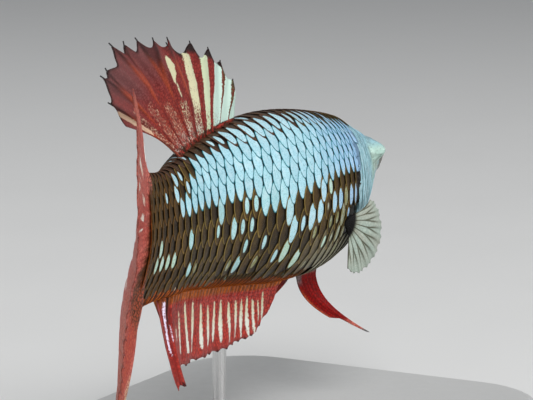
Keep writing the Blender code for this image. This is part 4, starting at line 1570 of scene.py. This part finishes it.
dorsalTints = [shades["olive"]] + [shades["red"] * 0.7] * 3 + [shades["orange"] * 0.8] * 9
dorsal |= {
    "grid": (300, 96), "start": -0.1, "reach": scallops(dorsal["tips"], dorsal["valleys"], 1.7),
    "thick": dorsalThick, "wave": dorsalWave, "paint": dorsalPaint,
    "rayTint": lambda i: dorsalTints[i], "tipTint": shades["black"], "girth": (0.13, 0.06), "change": 0.62,
    "points": 26,
}
makeFin("dorsal", dorsal, dorsalRay)

anal = {
    "rays": 20,
    "base": (21.6, 28),
    "tipS": smoothCurve([(0, 23.4), (0.1, 25.8), (0.5, 36.4), (0.8, 45), (0.9, 48.6), (1, 55)]),
    "tipW": smoothCurve([(0, 0), (0.7, 0), (0.9, 0.9), (1, 2)]),
    "tipZ": smoothCurve([
        (0, -11), (0.1, -12.4), (0.3, -13), (0.6, -12.6), (0.8, -11.8), (0.9, -11.1), (1, -11.5),
    ]),
    # place at mid height, lowest and highest t, half width
    "streaks": (
        (1.85, 0.1, 0.95, 0.2), (2.55, 0.25, 0.8, 0.12), (3.25, 0.22, 1, 0.2), (4, 0.15, 0.98, 0.2),
        (4.75, 0.2, 0.95, 0.2), (5.6, 0.2, 0.9, 0.21), (6.65, 0.2, 0.92, 0.2), (7.75, 0.15, 0.86, 0.23),
        (8.75, 0.15, 0.82, 0.2), (9.85, 0.2, 0.85, 0.21), (11, 0.15, 0.85, 0.24), (12.55, 0.1, 0.87, 0.27),
        (14.15, 0.1, 0.84, 0.27), (15.5, 0.2, 0.83, 0.22), (16.65, 0.4, 0.66, 0.26), (17.7, 0.3, 0.52, 0.22),
        (18.75, 0.35, 0.66, 0.22),
    ),
    "lean": 1.1,
}


def analStreak(t):
    # how far a streak lies in front of its place at mid height
    return -anal["lean"] * (t - 0.5) * (1 + 0.6 * (t - 0.5))


def analWave(j, t):
    return 0.16 * np.sin(j * 1.7) * ease(t) + 0.05 * np.cos(j * 6.3) * ease(t)


def analCourse(place):
    # the first and last rays are the fin's edges and don't lean
    lean = 1 if 0.2 < place < 18.6 else 0
    return tuple((t, float(np.clip(place + analStreak(t) * lean, 0, 19))) for t in np.linspace(-0.1, 1, 7))


def analRibs(j, t, width):
    share = np.zeros(np.broadcast(j, t).shape)
    for place in analPlaces:
        share = np.maximum(share, hump(j, place + analStreak(t), width))
    return share


def analThick(j, t):
    ticks = 0.07 * np.sin(j * 11.6) * (1 - rising(t, 0.12, 0.06))
    ridge = 0.1 * analRibs(j, t, 0.14) * (1 - 0.5 * ease(t))
    return 0.1 + 0.55 * falling(t, 0.2, 0.3) + ticks + 0.12 * (1 - ease(t)) + ridge


def analPaint(j, t, reach):
    c = shades
    pearl = np.zeros(j.shape)
    for place, low, high, half in anal["streaks"]:
        width = 0.86 * half * (0.7 + 0.6 * hump(t, 0.55, 0.35))
        across = ease((width - np.abs(j - place - analStreak(t))) / 0.4 + 0.5)
        pearl = np.maximum(pearl, across * ease((t - low) / 0.16 + 0.5) * ease((high - t) / 0.08 + 0.5))
    pearl = 0.76 * pearl * (1 - 0.3 * rising(j, 15, 1))
    pearl = np.maximum(pearl, 0.24 * between(t, 0.15, 0.5, 0.1))
    lobe = hump(j, 18.6 + 0.3 * t, 0.26) * between(t, 0, 0.6, 0.1)
    pearl = np.maximum(pearl, 0.66 * lobe)
    ticks = (0.8 + 0.34 * np.sin(j * 11.6 + 2 * grain(j * 2, t * 9, 8)))[..., None]
    root = 1 - rising(t, 0.03, 0.07)
    margin = rising(t, reach - 0.1, 0.1)
    dots = rising(grain(j * 9, t * 30, 5), -0.3, 0.5) * rising(j, 15, 1.2) * between(t, 0.02, 0.36, 0.16)
    crease = hump(j, 18.15 + 0.3 * t, 0.12) * between(t, -0.1, 0.42, 0.1)
    tip = analRibs(j, t, 0.13) * rising(t, reach - 0.05, 0.04)
    base = layered(
        c["brightRed"],
        (c["red"], rising(j, 10, 6) * 0.4),
        (c["sheath"] * ticks, root),
        (c["mauve"], margin * 0.7 * (1 - rising(j, 14.5, 1))),
        (c["deepRed"], rising(j, 17.6, 0.8) * 0.5 * (1 - margin)),
        (c["blood"] * 0.5, 0.7 * hump(j, 18.2, 0.22) * rising(t, 0.5, 0.15)),
        (c["deepRed"] * 0.7, 0.8 * dots),
        (c["black"], crease),
        (c["black"], tip),
    )
    dark = layered(
        c["deepRed"] * 1.3,
        (c["red"] * 0.7, rising(t, 0.5, 0.4)),
        (c["sheath"] * 0.5 * ticks, root),
        (c["black"], crease),
        (c["black"], tip),
    )
    rear = rising(j, 16.5, 1)
    tint = layered(
        c["ice"],
        (c["green"], hump(j, 2, 0.6) * 0.6),
        (c["lilac"], rear),
        (c["cream"], (0.25 + 0.6 * falling(t, 0.7, 0.4)) * (1 - rear)),
    )
    cover = 1 - 0.08 * rising(t, 0.6, 0.3)
    return {"finTint": base, "darkTint": dark, "pearlTint": tint, "pearl": pearl, "cover": cover}


analPlaces = [0.15, 1, *((a[0] + b[0]) / 2 for a, b in zip(anal["streaks"], anal["streaks"][1:])), 19]
anal["courses"] = [analCourse(place) for place in analPlaces]
analTips = sorted({round(p, 3) for p in (0, *(course[-1][1] for course in anal["courses"]), 19)})
anal |= {
    "grid": (360, 64), "start": -0.22, "reach": evenScallops(analTips, 1, lambda gap: 0.965, 1.8),
    "thick": analThick, "wave": analWave, "paint": analPaint,
    "rayTint": lambda i: shades["red"], "tipTint": shades["black"], "girth": (0.1, 0.04), "change": 0.93,
    "points": 14,
}
makeFin("anal", anal, analRay)

caudal = {
    "rays": 14, "forks": 13, "fork": 0.3,
    "topAngle": 37, "spread": 82, "length": 12.9, "rootTop": 6, "rootSpan": 10.7,
}


def caudalWave(j, t):
    return 0.05 * np.sin(j * 1.3 + 1) * ease(t) + 0.03 * np.cos(j * 6.28) * ease(t)


def caudalCourses():
    # each ray forks once, and a single ray runs along each edge
    courses = []
    fork, spread = caudal["fork"], ((0.55, 0.17), (0.8, 0.24), (1.02, 0.27))
    for i in range(caudal["forks"]):
        place = 0.5 + i
        halves = [((fork, place), *((t, place + way * away) for t, away in spread)) for way in (-1, 1)]
        courses += [((-0.05, place), (0.15, place), *halves[0]), halves[1]]
    edges = [tuple((t, j) for t in (-0.05, 0.5, 0.99)) for j in (0.04, 12.96)]
    return [edges[0], *courses, edges[1]]


def caudalThick(j, t):
    ridge = ribs(j, t, caudal["courses"], 0.09, lambda ahead: ahead > -0.02)
    foot = 0.62 * (1 - rising(t, -0.04, 0.2))
    return 0.1 + foot + 0.08 * (1 - ease(t * 1.4)) + 0.06 * ridge * (1 - 0.5 * ease(t))


def caudalPaint(j, t, reach):
    c = shades
    gap = np.minimum(j % 1, 1 - j % 1)
    inner = ease((0.36 - 0.18 * ease(t / 0.5) - gap) / 0.12 + 0.5)
    patch = 0.22 + 0.95 * grain(j * 1.1, t * 3.4, 21)
    pearl = inner * between(t, 0.16, 0.86, 0.14) * np.clip(patch, 0, 1)
    forked = hump(j % 1, 0.5, 0.1) * rising(t, 0.45, 0.15) * between(t, 0.4, 0.84, 0.1)
    pearl = np.maximum(pearl, forked * 0.5 * np.clip(0.5 + patch, 0, 1)) * (1 - 0.9 * rising(j, 7.5, 1.5))
    root = 1 - rising(t + 0.04 * grain(j * 4, t * 9, 2) - 0.17 * rising(j, 7, 4), -0.01, 0.14)
    margin = rising(t, reach - 0.06, 0.07)
    rim = np.clip(falling(j, 1.2, 0.8) * 0.7 + rising(j, 12.2, 0.5) * 0.8, 0, 1)
    base = layered(
        c["red"],
        (c["salmon"], 0.75 + 0.25 * grain(j * 0.9, t * 3, 4)),
        (c["brown"] * 0.75, root),
        (c["rust"], 0.8 * rising(j, 8.5, 3)),
        (c["mauve"], margin * 0.5),
        (c["salmon"] * 1.15, rim * (1 - margin)),
        (c["cream"], 0.75 * rising(j, 12.45, 0.3) * rising(t, 0.4, 0.2)),
    )
    dark = layered(
        c["red"],
        (c["rust"] * 0.75, rising(t, 0.6, 0.3)),
        (c["brown"] * 0.3, root),
        (c["mauve"] * 0.5, margin * 0.5),
    )
    pearlTint = mixed(c["pink"], c["ice"], 0.5 + 0.5 * grain(j * 0.7, t * 2, 9))
    cover = 1 - 0.1 * rising(t, 0.6, 0.3)
    return {"finTint": base, "darkTint": dark, "pearlTint": pearlTint, "pearl": pearl, "cover": cover}


caudal["courses"] = caudalCourses()
caudalTips = [0, *sorted(course[-1][1] for course in caudal["courses"])[1:-1], 13]
caudal |= {
    "grid": (340, 84), "start": -0.06,
    "reach": evenScallops(caudalTips, 0.995, lambda gap: 0.965 if gap < 0.6 else 0.955, 1.8),
    "thick": caudalThick, "wave": caudalWave, "paint": caudalPaint,
    "rayTint": lambda i: shades["red"], "tipTint": shades["black"], "girth": (0.11, 0.035), "change": 0.9,
    "points": 18,
}
makeFin("caudal", caudal, caudalRay)

pectoral = {
    "rays": 9, "forks": 9, "station": 17.3, "forward": {"right": math.radians(82), "left": math.radians(35)},
}


def pectoralWave(j, t):
    return 0.05 * np.cos(j * 6.28) * ease(t) + 0.06 * np.sin(j * 1.4) * ease(t)


def pectoralCourses():
    courses = []
    for i in range(pectoral["forks"]):
        place = 0.12 + (pectoral["rays"] - 1.24) * i / (pectoral["forks"] - 1)
        low = 0.3 + 0.06 * (i % 2)
        stem = ((-0.12, place * 0.9 + 0.4), (0.1, place))
        courses.append((*stem, (low, place), (0.65, place - 0.2), (0.985, place - 0.27)))
        courses.append(((low, place), (0.65, place + 0.2), (0.985, place + 0.27)))
    return [tuple((t, float(np.clip(j, 0.02, 7.98))) for t, j in course) for course in courses]


def pectoralThick(j, t):
    ridge = ribs(j, t, pectoral["courses"], 0.1, lambda ahead: ahead > -0.02)
    return 0.07 + 0.5 * falling(t, 0.1, 0.3) + 0.06 * ridge


def pectoralPaint(j, t, reach):
    c = shades
    ray = ribs(j, t, pectoral["courses"], 0.1, lambda ahead: ease(ahead / 0.05))
    base = layered(
        mixed(c["lobe"], c["mint"], 0.4 + 0.4 * grain(j * 1.3, t * 3, 14)) * 0.72,
        (c["olive"], hump(t, 0.04, 0.12) * 0.6),
        (c["olive"] * 0.45, ray * 0.95 * (1 - 0.75 * rising(t, 0.55, 0.35))),
        # painted shade: black at the fin's root, in the hollow between the fin and the body
        (c["black"], 1 - rising(t, 0.06, 0.08)),
    )
    pearl = 0.35 * (1 - ray) * rising(t, 0.14, 0.1)
    pearlTint = c["lobe"] * 0.95
    return {"finTint": base, "darkTint": base * 0.8, "pearlTint": pearlTint, "pearl": pearl, "cover": 1}


pectoral["courses"] = pectoralCourses()
pectoralTips = sorted({round(course[-1][1], 3) for course in pectoral["courses"]})
pectoralTips = [0, *(p for p in pectoralTips if 0.1 < p < 7.9), 8]
pectoral |= {
    "grid": (260, 56), "start": -0.14, "reach": evenScallops(pectoralTips, 1, lambda gap: 0.955, 1.7),
    "thick": pectoralThick, "wave": pectoralWave, "paint": pectoralPaint,
    "rayTint": lambda i: shades["brown"] * 0.3, "tipTint": shades["olive"], "girth": (0.055, 0.022),
    "change": 0.5, "points": 14,
}
for word, side in bothSides.items():
    makeFin("pectoral", pectoral, pectoralRay(side, pectoral["forward"][word]), "pale_fin", "_" + word)


def pelvicThick(j, t):
    return 0.1 + 0.4 * falling(t, 0.08, 0.2) + 0.06 * np.cos(j * 9.4) ** 2 + 0.12 * rising(t, 0.8, 0.2)


def pelvicWave(j, t):
    return 0.12 * np.sin(j * 3.1 + t * 5) * ease(t * 2) * (1 - rising(t, 0.7, 0.3))


def pelvicPaint(j, t, reach):
    c = shades
    stripes = 0.5 + 0.5 * np.sin(j * 9 + t * 9)
    base = layered(
        c["blood"],
        (c["deepRed"], stripes * 0.35),
        (c["orange"] * 1.1, rising(j, 1.66, 0.2) * rising(t, 0.15, 0.2)),
        (c["grey"], rising(j, 1.4, 0.4) * between(t, -0.3, 0.12, 0.14) * 0.8),
        (c["lobe"] * 0.5, falling(t, 0, 0.08) * 0.8),
        (c["salmon"], rising(t, 0.72, 0.12)),
        (c["grey"], rising(t, 0.9, 0.06)),
    )
    pearl = 0.15 * rising(t, 0.7, 0.2)
    return {"finTint": base, "darkTint": base * 0.5, "pearlTint": c["salmon"], "pearl": pearl, "cover": 1}


# The blade ends short of the first ray, which goes on as a filament. Ways are the knee's and the
# tip's places from the root: back, outwards and down.
pelvic = {
    "rays": 3, "grid": (44, 110), "start": -0.2,
    "reach": lambda j: 0.76 - 0.04 * j + 0.24 * falling(j, 0.95, 0.6),
    "thick": pelvicThick, "wave": pelvicWave, "paint": pelvicPaint,
    "ways": {"right": ((-1.3, -0.5, 3.5), (-5.8, 4, 6.6)), "left": ((3, 0.3, 2.2), (8.6, 0.9, 3.6))},
}
for word, side in bothSides.items():
    sheet = finSheet("pelvic_blade_" + word, pelvic, pelvicRay(side, *pelvic["ways"][word]))
    finishPiece(sheet, "fin_membrane", "pelvic_fin_" + word)


def eyeLook(tree, place):
    # ring runs from the middle of the pupil, 0, to the back of the ball, 1
    ring = tree.attribute("ring", "Fac")
    speck = tree.noise(place, 4200, 3, 0.6)
    ragged = ring + (speck - 0.5) * 0.03
    stops = (
        (0, (0.002, 0.002, 0.003)), (0.3, (0.002, 0.002, 0.003)), (0.325, (0.75, 0.45, 0.1)),
        (0.36, (0.3, 0.13, 0.035)), (0.44, (0.12, 0.035, 0.016)), (0.52, (0.4, 0.1, 0.03)),
        (0.7, (0.3, 0.07, 0.025)), (0.8, (0.2, 0.3, 0.28)),
    )
    made = tree.node("ShaderNodeValToRGB", {"stops": stops}, {0: ragged})
    glint = tree.ramp(speck, 0.52, 0.66) * tree.ramp(ring, 0.3, 0.4) * 0.5
    return {
        "Base Color": tree.blend(glint, made, (0.1, 0.33, 0.34)),
        "Roughness": tree.ramp(ring, 0.3, 0.36, 0.08, 0.3),
        "Metallic": tree.ramp(ring, 0.31, 0.34) * 0.35,
    }


eyeMaterial = makeMaterial(
    "eye_surface", eyeLook, Coat_Weight=0.6, Coat_Roughness=0.02, Specular_IOR_Level=0.3,
)


def makeEye(word, side, rings=30, around=48):
    # a flattened ball turned about the line of sight, its lens standing a little proud
    middle, sight = eyeFrame(side)
    across = np.cross(sight, [0, 0, 1])
    across /= np.linalg.norm(across)
    up = np.cross(across, sight)
    points, rates = [], []
    for i in range(1, rings):
        a = math.pi * i / rings
        lens = eyes["lens"] * float(hump(a, 0, 0.5)) - 0.05 * float(hump(a, 0.95, 0.16))
        deep = eyes["depth"] * math.cos(a) + lens
        wide = eyes["radius"] * math.sin(a)
        for k in range(around):
            turn = 2 * math.pi * k / around
            outward = math.cos(turn) * across + math.sin(turn) * up
            points.append(middle + mm * (deep * sight + wide * outward))
            rates.append(i / rings)
    points += [middle + mm * (eyes["depth"] + eyes["lens"]) * sight, middle - mm * eyes["depth"] * sight]
    rates += [0, 1]
    faces = []
    last = (rings - 2) * around
    for k in range(around):
        n = (k + 1) % around
        faces += [(i + k, i + n, i + around + n, i + around + k) for i in range(0, last, around)]
        faces += [(len(points) - 2, n, k), (last + k, last + n, len(points) - 1)]
    obj = addMesh("eyeball_" + word, points, faces, eyeMaterial)
    faceOutward(obj.data)
    setAttribute(obj.data, "ring", rates)
    finishPiece(obj, "eye", "eye_" + word)


for word, side in bothSides.items():
    makeEye(word, side)


def boardLook(tree, place):
    grainy = tree.noise(place, 700, 4, 0.6)
    broad = tree.noise(place, 60, 2, 0.5)
    return {
        "Base Color": tree.blend(broad * 0.25, (0.56, 0.56, 0.55), (0.48, 0.485, 0.48)),
        "Roughness": tree.ramp(grainy, 0.3, 0.7, 0.34, 0.46),
        "Normal": tree.bump(grainy, 0.12, 0.00005),
    }


def steelLook(tree, place):
    squeezed = tree.node("ShaderNodeMapping", None, {"Vector": place, "Scale": (1, 1, 0.02)})
    lines = tree.noise(squeezed, 9000, 2, 0.6)
    return {
        "Base Color": tree.blend(lines, (0.5, 0.5, 0.5), (0.68, 0.68, 0.68)),
        "Roughness": tree.ramp(lines, 0.3, 0.7, 0.2, 0.36),
        "Normal": tree.bump(lines, 0.15, 0.00002),
    }


def floorLook(tree, place):
    return {"Roughness": tree.ramp(tree.noise(place, 60), 0.3, 0.7, 0.7, 0.8)}


boardMaterial = makeMaterial("satin_board", boardLook, Coat_Weight=0.1)
steelMaterial = makeMaterial("brushed_steel", steelLook, Metallic=1)
stand = {"stand_base": boardMaterial, "stand_collar": steelMaterial, "stand_rod": steelMaterial}
for node, material in stand.items():
    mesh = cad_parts[node].data
    mesh.materials.clear()
    mesh.materials.append(material)
    for face in mesh.polygons:
        face.material_index = 0

# lamps: place, size and power
studio = {
    "floorHalf": 3,
    "floorTint": (0.72, 0.72, 0.71, 1),
    "lamps": (((-0.35, -0.3, 0.5), 0.3, 3.1), ((0.1, -0.6, 0.25), 0.4, 1.6), ((-0.3, 0.5, 0.35), 0.4, 1.2)),
    "lampTarget": (0, 0, 0.025),
    "sky": (0.8, 0.82, 0.85, 1),
    "skyStrength": 0.35,
}


def makeStage():
    half = studio["floorHalf"]
    mesh = bpy.data.meshes.new("floor")
    corners = [(-half, -half, 0), (half, -half, 0), (half, half, 0), (-half, half, 0)]
    mesh.from_pydata(corners, [], [(0, 1, 2, 3)])
    mesh.materials.append(makeMaterial("plain_floor", floorLook, Base_Color=studio["floorTint"]))
    floor = link("floor", mesh)
    for place, size, power in studio["lamps"]:
        lamp = link("lamp", bpy.data.lights.new("lamp", "AREA"))
        lamp.data.energy = power
        lamp.data.size = size
        lamp.location = place
        aim = Vector(studio["lampTarget"]) - Vector(place)
        lamp.rotation_euler = aim.to_track_quat("-Z", "Y").to_euler()
    world = bpy.data.worlds.new("world")
    bpy.context.scene.world = world
    world.use_nodes = True
    background = world.node_tree.nodes["Background"].inputs
    background["Color"].default_value = studio["sky"]
    background["Strength"].default_value = studio["skyStrength"]
    bpy.context.scene.view_settings.view_transform = "Standard"


makeStage()
